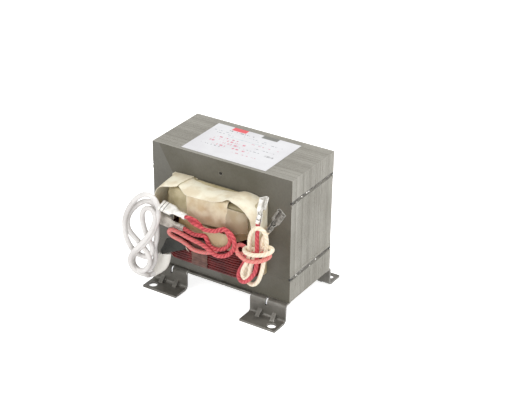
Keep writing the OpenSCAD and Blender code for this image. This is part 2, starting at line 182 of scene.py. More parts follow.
class Draft:
    """Points and faces of one piece, gathered part by part before they become a mesh."""

    ASIDE: Point = (0.31, 0.17, 0.93)
    """Direction that starts the rings of a tube, along none of its lines."""

    def __init__(self) -> None:
        """Starts an empty draft."""
        self.points: list[np.ndarray] = []
        self.faces: list[tuple[int, ...]] = []
        self.tones: list[float] = []
        self.ridges: list[np.ndarray] = []
        self.count = 0

    def add(self, points: np.ndarray, faces: Sequence[Sequence[int]],
            tone: float | Sequence[float] = 0.5, ridge: np.ndarray | float = 0.5) -> None:
        """Adds a part.

        Args:
            points: The part's points.
            faces: Its faces, numbered from its first point.
            tone: Shade of the whole part, or of each face, from 0 to 1.
            ridge: Height of each point on the part's own relief, from 0 to 1.
        """
        flat = points.reshape(-1, 3)
        self.points.append(flat)
        self.ridges.append(np.broadcast_to(np.asarray(ridge, float).ravel(), len(flat)))
        self.faces += [tuple(self.count + k for k in face) for face in faces]
        self.tones += [tone] * len(faces) if isinstance(tone, float) else list(tone)
        self.count += len(flat)

    @staticmethod
    def mesh_of(rows: int, columns: int, loop_rows: bool,
                loop_columns: bool) -> list[tuple[int, ...]]:
        """Faces between the points of a grid.

        Args:
            rows: Number of rows.
            columns: Points in each row.
            loop_rows: Whether the last row meets the first.
            loop_columns: Whether each row closes on itself.

        Returns:
            Four-sided faces.
        """
        faces = []
        for i in range(rows if loop_rows else rows - 1):
            for j in range(columns if loop_columns else columns - 1):
                a, b = i * columns, (i + 1) % rows * columns
                k = (j + 1) % columns
                faces.append((a + j, a + k, b + k, b + j))
        return faces

    def tube(self, centres: np.ndarray, radius: np.ndarray | float, sides: int = 8,
             closed: bool = False, tone: float | np.ndarray = 0.5,
             ridge: np.ndarray | float = 0.5) -> None:
        """Adds a tube round a line.

        Args:
            centres: Points of the line.
            radius: One radius, or one for each side of each ring.
            sides: Sides of each ring.
            closed: Whether the line is a loop.
            tone: Shade of the tube, or of each of its rings.
            ridge: Relief of the tube, shaped as radius.
        """
        rings = len(centres)
        if closed:
            along = np.roll(centres, -1, axis=0) - np.roll(centres, 1, axis=0)
        else:
            along = np.gradient(centres, axis=0)
        along /= np.linalg.norm(along, axis=1, keepdims=True)
        across = np.zeros_like(centres)
        side = np.cross(along[0], self.ASIDE)
        for i in range(rings):
            side = side - along[i] * np.dot(side, along[i])
            side /= np.linalg.norm(side)
            across[i] = side
        up = np.cross(along, across)
        turn = ring_angles(sides)[None, :, None]
        wide = np.broadcast_to(np.asarray(radius, float), (rings, sides))[..., None]
        round_line = np.cos(turn) * across[:, None] + np.sin(turn) * up[:, None]
        faces = self.mesh_of(rings, sides, closed, True)
        if not isinstance(tone, float):
            tone = np.append(np.repeat(tone[: len(faces) // sides], sides), tone[[0, -1]]).tolist()
        if not closed:
            faces += self.caps(rings, sides)
        shown = np.broadcast_to(np.asarray(ridge, float), (rings, sides))
        self.add(centres[:, None] + wide * round_line, faces, tone, shown)

    @staticmethod
    def caps(rings: int, sides: int) -> list[tuple[int, ...]]:
        """Faces that close the first and the last ring of a row of rings."""
        return [tuple(range(sides - 1, -1, -1)), tuple(range((rings - 1) * sides, rings * sides))]

    def sheet(self, grid: np.ndarray, thickness: float, tone: float | np.ndarray = 0.5) -> None:
        """Adds a sheet with a real thickness.

        Args:
            grid: Grid of points on the sheet's middle surface.
            thickness: Thickness of the sheet.
            tone: Shade of the sheet, or of each strip between two of its rows.
        """
        rows, columns = grid.shape[:2]
        lean = np.cross(np.gradient(grid, axis=0), np.gradient(grid, axis=1))
        lean /= np.maximum(np.linalg.norm(lean, axis=2, keepdims=True), 1e-12)
        points = np.stack([grid + lean * thickness / 2, grid - lean * thickness / 2])
        half = rows * columns
        front = self.mesh_of(rows, columns, False, False)
        faces = front + [tuple(half + k for k in reversed(face)) for face in front]
        rim = list(range(columns)) + [i * columns + columns - 1 for i in range(1, rows)]
        rim += [(rows - 1) * columns + j for j in range(columns - 2, -1, -1)]
        rim += [i * columns for i in range(rows - 2, 0, -1)]
        for a, b in zip(rim, rim[1:] + rim[:1]):
            faces.append((b, a, half + a, half + b))
        if not isinstance(tone, float):
            both = np.tile(np.repeat(tone, columns - 1), 2)
            tone = np.concatenate([both, np.zeros(len(rim))]).tolist()
        self.add(points, faces, tone)

    def plate(self, loops: Sequence[np.ndarray], low: float, high: float,
              place: Callable[[np.ndarray, float], np.ndarray], tone: float = 0.5,
              cut: Sequence[Sequence[int]] | None = None) -> Sequence[Sequence[int]]:
        """Adds a flat plate with holes.

        Args:
            loops: Its outline and its holes, as points of two numbers.
            low: Level of its first face.
            high: Level of its second face.
            place: Turns points of two numbers and a level into points in space.
            tone: Shade of the plate.
            cut: Triangles of an earlier plate with the same loops.

        Returns:
            The triangles of its faces, for the next plate.
        """
        if cut is None:
            cut = tessellate_polygon([[Vector((x, y, 0)) for x, y in loop] for loop in loops])
        flat = np.concatenate(loops)
        half = len(flat)
        points = np.stack([place(flat, low), place(flat, high)])
        faces = [tuple(t) for t in cut] + [tuple(half + k for k in reversed(t)) for t in cut]
        start = 0
        for loop in loops:
            for k in range(len(loop)):
                a, b = start + k, start + (k + 1) % len(loop)
                faces.append((a, b, half + b, half + a))
            start += len(loop)
        self.add(points, faces, tone)
        return cut

    def piece(self, name: str, finish: "Finish", slot: str, replaces: Sequence[str],
              sharp: float = 50) -> bpy.types.Object:
        """Turns the draft into a piece of the transformer.

        Args:
            name: Name of the piece.
            finish: Its finish.
            slot: Material slot in the record; not used.
            replaces: CAD nodes that it stands for.
            sharp: Angle in degrees from which an edge stays sharp.

        Returns:
            The object, riding on the body.
        """
        mesh = bpy.data.meshes.new(name)
        mesh.from_pydata(np.concatenate(self.points).tolist(), [], self.faces)
        work = bmesh.new()
        work.from_mesh(mesh)
        bmesh.ops.recalc_face_normals(work, faces=work.faces)
        work.to_mesh(mesh)
        work.free()
        mesh.attributes.new("tone", "FLOAT", "FACE").data.foreach_set("value", self.tones)
        ridge = np.concatenate(self.ridges)
        mesh.attributes.new("ridge", "FLOAT", "POINT").data.foreach_set("value", ridge)
        mesh.shade_smooth()
        mesh.set_sharp_from_angle(angle=math.radians(sharp))
        thing = bpy.data.objects.new(name, mesh)
        bpy.context.scene.collection.objects.link(thing)
        thing.data.materials.append(finish.material())
        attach(thing, "root")
        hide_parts(*replaces)
        log.info("%s: %d faces", name, len(mesh.polygons))
        return thing


# ---------------------------------------------------------------- shading


class Sketch:
    """Places and joins the nodes of one node tree."""

    def __init__(self, tree: bpy.types.NodeTree) -> None:
        """Takes the node tree to draw in."""
        self.tree = tree

    def node(self, kind: str, settings: dict[str, object] | None = None,
             **sockets: object) -> bpy.types.Node:
        """Adds a node.

        Args:
            kind: Type of the node, without its Shader prefix.
            settings: Values of its properties.
            **sockets: Values or sockets for its inputs, with _ for a space.

        Returns:
            The node.
        """
        made = self.tree.nodes.new(kind if kind.startswith("Node") else "ShaderNode" + kind)
        for key, value in (settings or {}).items():
            setattr(made, key, value)
        for key, value in sockets.items():
            self.feed(made.inputs[key.replace("_", " ")], value)
        return made

    def feed(self, socket: Socket, value: object) -> None:
        """Gives an input a value, or joins it to another socket.

        Args:
            socket: The input.
            value: Its value, or the socket that feeds it.
        """
        if isinstance(value, Socket):
            self.tree.links.new(value, socket)
        else:
            socket.default_value = value

    def math(self, operation: str, a: object, b: object = 0.0, clamp: bool = False) -> Socket:
        """Result of a sum on one or two numbers.

        Args:
            operation: Name of the operation.
            a: First number or socket.
            b: Second number or socket.
            clamp: Whether the result stays from 0 to 1.

        Returns:
            The result's socket.
        """
        made = self.node("Math", {"operation": operation, "use_clamp": clamp})
        self.feed(made.inputs[0], a)
        self.feed(made.inputs[1], b)
        return made.outputs[0]

    def blend(self, share: object, a: object, b: object) -> Socket:
        """Mixes two colours.

        Args:
            share: Share of the second colour.
            a: First colour or socket.
            b: Second colour or socket.

        Returns:
            The mixed colour's socket.
        """
        made = self.node("Mix", {"data_type": "RGBA"})
        self.feed(made.inputs[0], share)
        self.feed(made.inputs[6], a)
        self.feed(made.inputs[7], b)
        return made.outputs[2]

    def ramp(self, value: object, low: object, high: object) -> Socket:
        """A smooth step from 0 to 1.

        Args:
            value: Number or socket to judge.
            low: Where the step starts.
            high: Where it ends, which may be less than low.

        Returns:
            The step's socket.
        """
        made = self.node("MapRange", {"interpolation_type": "SMOOTHSTEP"}, Value=value)
        self.feed(made.inputs["From Min"], low)
        self.feed(made.inputs["From Max"], high)
        return made.outputs[0]

    def attribute(self, name: str) -> Socket:
        """Socket of a number that the mesh keeps, such as its tone."""
        return self.node("Attribute", {"attribute_name": name}).outputs["Fac"]

    def place(self) -> Socket:
        """Socket of the point on the object, in metres."""
        return self.node("TexCoord").outputs["Object"]

    def shared(self, effect: "Effect", **sockets: object) -> Socket:
        """Places an effect's node group with these inputs, and gives its output."""
        return self.node("Group", {"node_tree": effect.group()}, **sockets).outputs[0]

    def white_rays(self) -> Socket:
        """Mask of the rays that see plain white surroundings.

        Returns:
            The socket, which is 1 for the camera, for gloss and for glass.
        """
        path = self.node("LightPath").outputs
        seen = self.math("MAXIMUM", path["Is Camera Ray"], path["Is Glossy Ray"])
        return self.math("MAXIMUM", seen, path["Is Transmission Ray"])

    def sockets(self, inputs: dict[str, float],
                output: str) -> tuple[bpy.types.NodeOutputs, Socket]:
        """Args:
            inputs: Default of each input, by name.
            output: Name of the output.

        Returns:
            The sockets that bring the inputs in, and the socket that takes the output.
        """
        face, kind = self.tree.interface, "NodeSocketFloat"
        for name, default in inputs.items():
            socket = face.new_socket(name=name, in_out="INPUT", socket_type=kind)
            socket.default_value = default
        face.new_socket(name=output, in_out="OUTPUT", socket_type=kind)
        return self.node("NodeGroupInput").outputs, self.node("NodeGroupOutput").inputs[0]


class EffectSketch(Sketch):
    """Draws the node group of an effect that several finishes share."""

    def __init__(self, tree: bpy.types.NodeTree) -> None:
        """Takes the group's tree, and places the point on the object."""
        super().__init__(tree)
        self.point = self.place()

    def mottle(self) -> None:
        """Soft patches or fine grain."""
        given, result = self.sockets({"Size": 0.01, "Low": 0.4, "High": 0.6}, "Mask")
        scale = self.math("DIVIDE", 1.0, given["Size"])
        noisy = self.node("TexNoise", Vector=self.point, Scale=scale, Detail=4.0)
        self.feed(result, self.ramp(noisy.outputs[0], given["Low"], given["High"]))

    def worn_and_highlit_edge(self) -> None:
        """Strips along the outer edges, broken up by chips: rubbed wear on some finishes and a
        painted highlight on others.
        """
        given, result = self.sockets({"Width": 0.0005, "Breakup": 0.5}, "Mask")
        rounded = self.node("Bevel", {"samples": 6}, Radius=given["Width"])
        near = self.node("VectorMath", {"operation": "DOT_PRODUCT"})
        self.feed(near.inputs[0], rounded.outputs[0])
        self.feed(near.inputs[1], self.node("NewGeometry").outputs["Normal"])
        flat, turned, chip_scale = 0.99, 0.8, 300.0
        crest = self.ramp(near.outputs["Value"], flat, turned)
        chips = self.node("TexNoise", Vector=self.point, Scale=chip_scale, Detail=3.0)
        broken = self.ramp(chips.outputs[0], given["Breakup"], 0.2)
        self.feed(result, self.math("MULTIPLY", crest, broken, True))

    def level(self) -> None:
        """A ragged step at a level, such as the top of a soaked part."""
        given, result = self.sockets({"Bottom": 0.0, "Top": 0.1, "Ragged": 0.004}, "Mask")
        height = self.node("SeparateXYZ", Vector=self.point).outputs[2]
        wave_scale = 130.0
        waves = self.node("TexNoise", Vector=self.point, Scale=wave_scale, Detail=5.0)
        drift = self.math("SUBTRACT", waves.outputs[0], 0.5)
        height = self.math("ADD", height, self.math("MULTIPLY", drift, given["Ragged"]))
        self.feed(result, self.ramp(height, given["Bottom"], given["Top"]))

    def weave(self) -> None:
        """Height of crossed threads."""
        given, result = self.sockets({"Pitch": 0.0006}, "Height")
        parts = self.node("SeparateXYZ", Vector=self.point).outputs
        x, y, z = (self.math("SINE", self.math("DIVIDE", part, given["Pitch"])) for part in parts)
        self.feed(result, self.math("ADD", self.math("MULTIPLY", x, z), y))

    def block(self) -> None:
        """A flat upright rectangle of print, which may be broken into short marks."""
        given, result = self.sockets(
            {"X": 0.0, "Y": 0.0, "Half Width": 0.005, "Half Depth": 0.001, "Breaks": 0.0}, "Mask")
        parts = self.node("SeparateXYZ", Vector=self.point).outputs
        soft_edge, soft_gap, row_shift, mark_scale = (1.06, 0.94), (0.56, 0.5), 70.0, 420.0
        mask = 1.0
        for axis, half in (("X", "Half Width"), ("Y", "Half Depth")):
            off = self.math("ABSOLUTE", self.math("SUBTRACT", parts[axis], given[axis]))
            inside = self.math("DIVIDE", off, given[half])
            mask = self.math("MULTIPLY", mask, self.ramp(inside, *soft_edge))
        row = self.math("ADD", parts["X"], self.math("MULTIPLY", given["Y"], row_shift))
        marks = self.node("TexNoise", {"noise_dimensions": "1D"}, W=row, Scale=mark_scale,
                          Detail=2.0)
        gaps = self.math("MULTIPLY", self.ramp(marks.outputs[0], *soft_gap), given["Breaks"])
        self.feed(result, self.math("MULTIPLY", mask, self.math("SUBTRACT", 1.0, gaps)))


class Effect(Enum):
    """The shared effects, each with the name of its node group and the method that draws it."""

    MOTTLE = ("Surface mottle", EffectSketch.mottle)
    EDGE = ("Worn and highlit edge", EffectSketch.worn_and_highlit_edge)
    LEVEL = ("Stained level", EffectSketch.level)
    WEAVE = ("Crossed threads", EffectSketch.weave)
    BLOCK = ("Printed block", EffectSketch.block)

    def group(self) -> bpy.types.NodeTree:
        """Gives the effect's node group, and builds it the first time.

        Returns:
            The node group.
        """
        title, draw = self.value
        if title not in bpy.data.node_groups:
            draw(EffectSketch(bpy.data.node_groups.new(title, "ShaderNodeTree")))
        return bpy.data.node_groups[title]


@dataclass(frozen=True)
class Finish:
    """A surface finish: mottled colour, fine grain, a tone for each part, edge strips of wear and
    painted highlight, and painted shade and highlight on the relief.

    Its sizes are in millimetres.
    """

    name: str
    colour: str
    mottle: str
    # edge colours strips of rubbed wear and painted highlight; low is painted shade in the relief's
    # hollows, crest a painted highlight on its crests.
    edge: str = ""
    low: str = ""
    crest: str = ""
    mottle_size: float = 14
    mottle_range: tuple[float, float] = (0.38, 0.66)
    grain_size: float = 0.5
    grain_range: tuple[float, float] = (0.25, 0.75)
    grain_dark: float = 0.12
    tone_swing: float = 0
    roughness: float = 0.5
    roughness_swing: float = 0.12
    metallic: float = 0
    specular: float = 0.5
    relief: float = 0.05
    edge_width: float = 0.6
    edge_breakup: float = 0.7
    # far_colour is blended in by the tone attribute: painted shade in terminal creases and on the
    # front corner strip, a painted glint on weld spatter, and the lighter colour of frayed threads
    # and some lead stretches.
    far_colour: str = ""
    # hollow and top are the ridge ranges that bring in the painted shade and the painted highlight.
    hollow: tuple[float, float] = (0.45, 0.05)
    top: tuple[float, float] = (0.55, 1.0)

    def surface(self, draw: Sketch, blotch: Socket) -> Socket:
        """Base colour before grain and wear, mottled with a second colour."""
        return draw.blend(blotch, tint(self.colour), tint(self.mottle))

    def height(self, draw: Sketch, grain: Socket) -> Socket:
        """Height of the surface's fine relief, from 0 to 1."""
        return grain

    def worn_and_lit(self, draw: Sketch, colour: Socket) -> Socket:
        """Adds what changes along the piece: far colour, tone, painted shade and highlight on the
        relief, and edge strips of wear and painted highlight.

        Args:
            draw: The material's nodes.
            colour: Colour of the plain surface.

        Returns:
            The finished colour's socket.
        """
        # The far colour comes in by tone; on some finishes it is painted shade or a painted glint.
        if self.far_colour:
            colour = draw.blend(draw.attribute("tone"), colour, tint(self.far_colour))
        if self.tone_swing:
            shade = draw.math("MULTIPLY", draw.attribute("tone"), self.tone_swing)
            colour = draw.blend(shade, colour, BLACK)
        # Painted shade in the hollows of the relief, and a painted highlight on its crests.
        if self.low:
            ridge = draw.attribute("ridge")
            colour = draw.blend(draw.ramp(ridge, *self.hollow), colour, tint(self.low))
            high = tint(self.crest or self.colour)
            colour = draw.blend(draw.ramp(ridge, *self.top), colour, high)
        # Edge strips: rubbed wear on some finishes, a painted highlight on others.
        if self.edge:
            edge_wear_and_highlight = draw.shared(Effect.EDGE, Width=self.edge_width * MM, Breakup=self.edge_breakup)
            colour = draw.blend(edge_wear_and_highlight, colour, tint(self.edge))
        return colour

    def material(self) -> bpy.types.Material:
        """Gives the finish's material, and builds it the first time.

        Returns:
            The material.
        """
        title = self.name + "_finish"
        if title in bpy.data.materials:
            return bpy.data.materials[title]
        made = bpy.data.materials.new(title)
        made.use_nodes = True
        draw = Sketch(made.node_tree)
        shader = made.node_tree.nodes["Principled BSDF"].inputs
        low, high = self.mottle_range
        blotch = draw.shared(Effect.MOTTLE, Size=self.mottle_size * MM, Low=low, High=high)
        low, high = self.grain_range
        grain = draw.shared(Effect.MOTTLE, Size=self.grain_size * MM, Low=low, High=high)
        dark = draw.math("MULTIPLY", grain, self.grain_dark)
        colour = self.worn_and_lit(draw, draw.blend(dark, self.surface(draw, blotch), BLACK))
        swing = draw.math("MULTIPLY", draw.math("SUBTRACT", blotch, 0.5), self.roughness_swing)
        draw.feed(shader["Base Color"], colour)
        draw.feed(shader["Roughness"], draw.math("ADD", swing, self.roughness, True))
        shader["Metallic"].default_value = self.metallic
        shader["Specular IOR Level"].default_value = self.specular
        if self.relief:
            bump = draw.node("Bump", Distance=self.relief * MM, Height=self.height(draw, grain))
            draw.feed(shader["Normal"], bump.outputs[0])
        return made


@dataclass(frozen=True)
class WovenFinish(Finish):
    """A cloth or glass tape, with crossed threads."""

    pitch: float = 0.12
    thread_height: float = 0.3

    def height(self, draw: Sketch, grain: Socket) -> Socket:
        """Height of the crossed threads over the grain."""
        threads = draw.shared(Effect.WEAVE, Pitch=self.pitch * MM)
        return draw.math("ADD", draw.math("MULTIPLY", threads, self.thread_height), grain)


@dataclass(frozen=True)
class StainedFinish(Finish):
    """Insulating paper, soaked with varnish from below."""

    stain: str = "9E8A66"
    stain_from: float = 60
    stain_to: float = 76
    stain_ragged: float = 22

    def surface(self, draw: Sketch, blotch: Socket) -> Socket:
        """Paper colour that darkens towards the varnished lower edge.

        Args:
            draw: The material's nodes.
            blotch: Mask of the mottled areas.

        Returns:
            The colour's socket.
        """
        paper = super().surface(draw, blotch)
        clean = draw.shared(Effect.LEVEL, Bottom=self.stain_from * MM, Top=self.stain_to * MM,
                            Ragged=self.stain_ragged * MM)
        return draw.blend(clean, tint(self.stain), paper)


@dataclass(frozen=True)
class LaminationFinish(Finish):
    """Dark scale on the flat faces of the laminations, and brighter cut edges.

    One corner of the flat faces, beyond a slanting line, is lighter than the rest.
    """

    edge_dark: str = "86837A"
    edge_light: str = "B0ADA4"
    corner: str = "716F68"
    corner_slope: float = 0.578
    corner_line: tuple[float, float] = (11.2, 10.4)

    def surface(self, draw: Sketch, blotch: Socket) -> Socket:
        """Scale colour on the faces, and a tone for each lamination on its cut edge.

        Args:
            draw: The material's nodes.
            blotch: Mask of the mottled areas.

        Returns:
            The colour's socket.
        """
        parts = draw.node("SeparateXYZ", Vector=draw.place()).outputs
        beyond = draw.math("ADD", parts[0], draw.math("MULTIPLY", parts[2], self.corner_slope))
        beyond = draw.ramp(beyond, self.corner_line[0] * MM, self.corner_line[1] * MM)
        scale = draw.blend(beyond, super().surface(draw, blotch), tint(self.corner))
        cut = draw.blend(draw.attribute("tone"), tint(self.edge_dark), tint(self.edge_light))
        cut = draw.blend(draw.math("MULTIPLY", blotch, 0.3), cut, tint(self.edge_dark))
        lean = draw.node("SeparateXYZ", Vector=draw.node("NewGeometry").outputs["True Normal"])
        facing = draw.ramp(draw.math("ABSOLUTE", lean.outputs[1]), 0.5, 0.8)
        return draw.blend(facing, cut, scale)


@dataclass(frozen=True)
class LabelFinish(Finish):
    """A blank label with plain colour blocks and thin rules.

    Each block is a colour, a centre, half sizes and how broken it is.
    """

    blocks: tuple[tuple[str, float, float, float, float, float], ...] = ()

    def surface(self, draw: Sketch, blotch: Socket) -> Socket:
        """Label colour with its blocks.

        Args:
            draw: The material's nodes.
            blotch: Mask of the mottled areas.

        Returns:
            The colour's socket.
        """
        colour = super().surface(draw, blotch)
        for code, x, y, half_x, half_y, breaks in self.blocks:
            block = draw.shared(Effect.BLOCK, X=x * MM, Y=y * MM, Half_Width=half_x * MM,
                                Half_Depth=half_y * MM, Breaks=breaks)
            colour = draw.blend(block, colour, tint(code))
        return colour


# The lighter edge strip on the core is wear on its corners together with a painted highlight.
CORE_STEEL = LaminationFinish(
    "lamination_steel", "6B685F", "605D52", edge="A8A59A", mottle_size=30, grain_size=1.2,
    grain_dark=0.1, roughness=0.55, metallic=0.1, relief=0.02, specular=0.3)
# The bright edge colour paints glints on the feet's bends and darts: a painted highlight.
STRIP_STEEL = Finish(
    "strip_steel", "74716A", "625F58", edge="F0EEE8", mottle_size=9, grain_size=0.6,
    roughness=0.36, metallic=0.25, relief=0.03, edge_width=1.0, edge_breakup=0.45)
# Weld colours: low is the painted shadow of the groove's undercut and end notches, far_colour a
# painted glint on the spatter, edge a rubbed and highlit rim.
WELD_METAL = Finish(
    "weld_metal", "6F6B60", "4A463E", low="1C1A18", edge="D8D6CF", mottle_size=5, grain_size=0.6,
    grain_dark=0.3, roughness=0.4, metallic=0.3, far_colour="F2F0EA")
SHUNT_STEEL = Finish(
    "shunt_steel", "3A3835", "2B2926", roughness=0.55, metallic=0.1, specular=0.3)
ENAMEL = Finish(
    "enamelled_wire", "741D1B", "4C100E", mottle_size=16, grain_size=0.8, tone_swing=0.5,
    roughness=0.3, relief=0.01, specular=0.25)
# low is painted shade in the valleys between the strands, crest a painted highlight on them.
FILAMENT_WIRE = Finish(
    "filament_wire", "8E2430", "6E1A24", low="3E0C12", crest="B23A46", specular=0.3)
PAPER = StainedFinish(
    "insulating_paper", "F0EAD4", "DFD2B6", edge="FBF6E8", mottle_size=9, grain_dark=0.06,
    roughness=0.62, stain="BCA985", stain_to=70)
# far_colour is painted shade on the corner strip under the arch of the top sheet.
STRIP_PAPER = StainedFinish(
    "strip_paper", "DDD0B4", "CDB894", edge="EFE4CC", mottle_size=7, grain_size=0.4,
    grain_dark=0.06, far_colour="8E8068", stain="A58A6A", stain_from=64, stain_to=80)
WRAP_PAPER = StainedFinish(
    "paper_tape", "C3B692", "A2946F", mottle_size=10, grain_size=0.4, tone_swing=0.15,
    roughness=0.45, relief=0.06, stain="9C8058", stain_to=73)
CLOTH = WovenFinish(
    "cloth_tape", "6E4D42", "543932", mottle_size=5, roughness=0.45, relief=0.06, specular=0.3)
FISH_PAPER = Finish(
    "dark_fish_paper", "23241E", "191A15", mottle_size=6, far_colour="CFC7B6", specular=0.3)
SILICONE = Finish(
    "white_silicone", "E9E6E3", "D6D2CF", mottle_size=20, grain_dark=0.03, roughness=0.35,
    relief=0)
BOOT_PLASTIC = Finish(
    "white_boot", "FAF8F2", "EDEAE2", mottle_size=12, grain_dark=0.02, roughness=0.3, relief=0,
    specular=0.4)
# Braid and sleeve colours: low is painted shade in the valleys between strands, crest a painted
# highlight on their tops; far_colour is the lighter colour of some stretches.
RED_BRAID = Finish(
    "red_braid", "CE4E56", "A4303B", low="9C3038", crest="E06A6C", far_colour="E2988E",
    mottle_size=1.4, grain_size=0.3, relief=0.03, specular=0.3)
PINK_BRAID = Finish(
    "pink_braid", "CC4350", "B83A48", low="B04450", crest="DE6A70", far_colour="F2A696",
    mottle_size=8, grain_size=0.3, roughness=0.55, relief=0.03, specular=0.3)
CREAM_SLEEVE = Finish(
    "cream_sleeve", "F7EAD2", "EFE0C4", low="E4D2B2", crest="FAF0DE", mottle_size=16,
    grain_size=0.3, grain_dark=0.05, relief=0.02)
# Tinned terminals: edge is a painted highlight on the rims, far_colour the painted shade of the
# creases.
TINNED = Finish(
    "tinned_terminal", "EFEDE8", "D8D5CE", edge="FFFFFF", mottle_size=3, grain_size=0.4,
    grain_dark=0.04, roughness=0.35, metallic=0.35, relief=0.003, edge_width=0.25,
    far_colour="34322F")
# A darker copy of the tin for a terminal in shade: painted shade, with a painted highlight on its
# lit upper edge.
TINNED_SHADED = Finish(
    "tinned_shaded", "C8C2B8", "ACA69C", edge="FFFDF5", mottle_size=3, grain_size=0.4,
    grain_dark=0.1, roughness=0.45, metallic=0.2, relief=0.005, edge_width=0.45,
    edge_breakup=1.0, far_colour="3A3733", specular=0.3)
# A still darker copy of the tin: painted shade for a terminal seen into its shaded hollow, with
# painted highlights on its rims.
TINNED_HOLLOW_SHADED = Finish(
    "tinned_hollow_shaded", "8E8981", "6C6861", edge="FFFDF5", mottle_size=2, grain_size=0.4,
    grain_dark=0.1, roughness=0.45, metallic=0.2, relief=0.005, edge_width=0.4,
    edge_breakup=0.8, specular=0.3)
LABEL = LabelFinish(
    "label_paper", "DFDFE1", "D6D5D8", mottle_size=25, grain_dark=0.02, roughness=0.42,
    relief=0, blocks=(
        ("DE5A60", -13.2, 18.2, 5.4, 2.6, 0), ("74746E", 9.8, 18.6, 5.9, 2.6, 0),
        ("5C5C60", -9, 14.2, 10, 0.45, 1), ("9AA2AA", -22, 11, 7, 0.3, 1),
        ("9AA2AA", 2, 11.2, 9, 0.3, 1), ("9C9FA6", -20, 8.2, 9, 0.3, 1),
        ("8E9298", 14, 9.2, 10, 0.3, 1), ("A8C0C6", -2, 6, 13, 0.25, 0.6),
        ("CC8494", -12, 3, 9, 0.7, 1), ("CC8494", 14, 4.4, 10, 0.3, 1),
        ("D48896", -10, 0, 12, 0.9, 1), ("94949A", 16, 0, 9, 0.3, 1),
        ("D08494", -12, -3.4, 11, 0.9, 1), ("3C3C3C", 23, -5.6, 3.4, 1, 0.8),
        ("8E9096", 8, -4.4, 8, 0.3, 1), ("D48896", -4, -7.4, 14, 0.8, 1),
        ("7C7C82", -18, -9.6, 9, 0.45, 1), ("CC8C9A", 8, -12, 9, 0.4, 1)))


# ---------------------------------------------------------------- studio


@dataclass
class Studio:
    """Camera, plain soft lights, white surroundings and a pale floor."""

    target: Point = (-12.75 * MM, 0.0, 23.83 * MM)
    distance: float = 947.4 * MM
    azimuth: float = 33.496
    elevation: float = 29.484
    lens: float = 97.15
    shift: tuple[float, float] = (0.0703, 0.0709)
    sensor: float = 36
    lamps: Sequence[tuple[str, Point, float, float]] = (
        ("key_light", (0.62, 0.1, 1.05), 0.7, 7.6),
        ("fill_light", (-0.5, -1.1, 0.7), 0.9, 5.0),
        ("low_light", (0.55, -0.9, 0.16), 0.5, 1.6))
    lit_point: Point = (0, 0, 50 * MM)
    ambient: float = 0.62
    floor_side: float = 6.0
    floor_grey: float = 0.92
    floor_glow: float = 0.78

    def build(self) -> None:
        """Makes the camera, the lights, the world and the floor."""
        self.camera()
        for lamp in self.lamps:
            self.lamp(*lamp)
        self.world()
        self.floor()
        bpy.context.scene.view_settings.view_transform = "Standard"

    def camera(self) -> None:
        """Aims the camera at the transformer."""
        turn, lift = math.radians(self.azimuth), math.radians(self.elevation)
        level = math.cos(lift)
        away = Vector((math.sin(turn) * level, -math.cos(turn) * level, math.sin(lift)))
        data = bpy.data.cameras.new("camera")
        data.lens, data.sensor_width = self.lens, self.sensor
        data.shift_x, data.shift_y = self.shift
        eye = bpy.data.objects.new("camera", data)
        eye.location = Vector(self.target) + away * self.distance
        eye.rotation_euler = (-away).to_track_quat("-Z", "Y").to_euler()
        bpy.context.scene.collection.objects.link(eye)
        bpy.context.scene.camera = eye

    def lamp(self, name: str, at: Point, side: float, power: float) -> None:
        """Hangs a square soft light that faces the transformer.

        Args:
            name: Name of the light.
            at: Its place.
            side: Length of its sides.
            power: Its power in watts.
        """
        data = bpy.data.lights.new(name, "AREA")
        data.energy, data.size = power, side
        light = bpy.data.objects.new(name, data)
        light.location = at
        aim = Vector(self.lit_point) - Vector(at)
        light.rotation_euler = aim.to_track_quat("-Z", "Y").to_euler()
        bpy.context.scene.collection.objects.link(light)

    def world(self) -> None:
        """Lights the scene evenly, and shows white to the camera, to gloss and to glass."""
        world = bpy.data.worlds.new("white_room")
        world.use_nodes = True
        draw = Sketch(world.node_tree)
        extra = draw.math("MULTIPLY", draw.white_rays(), 1.0 - self.ambient)
        back = world.node_tree.nodes["Background"].inputs
        back["Color"].default_value = (1, 1, 1, 1)
        draw.feed(back["Strength"], draw.math("ADD", extra, self.ambient))
        bpy.context.scene.world = world

    def floor(self) -> None:
        """Lays a pale floor that shows white, apart from the shadow that it keeps."""
        half = self.floor_side / 2
        mesh = bpy.data.meshes.new("floor")
        corners = [(-half, -half, 0), (half, -half, 0), (half, half, 0), (-half, half, 0)]
        mesh.from_pydata(corners, [], [(0, 1, 2, 3)])
        floor = bpy.data.objects.new("floor", mesh)
        bpy.context.scene.collection.objects.link(floor)
        made = bpy.data.materials.new("pale_floor")
        made.use_nodes = True
        tree = made.node_tree
        draw = Sketch(tree)
        grey = self.floor_grey
        matt = draw.node("BsdfDiffuse", Color=(grey, grey, grey, 1))
        shown = draw.math("MULTIPLY", draw.white_rays(), self.floor_glow)
        glow = draw.node("Emission", Strength=shown)
        both = draw.node("AddShader")
        draw.feed(both.inputs[0], matt.outputs[0])
        draw.feed(both.inputs[1], glow.outputs[0])
        draw.feed(tree.nodes["Material Output"].inputs["Surface"], both.outputs[0])
        tree.nodes.remove(tree.nodes["Principled BSDF"])
        mesh.materials.append(made)


# ---------------------------------------------------------------- core


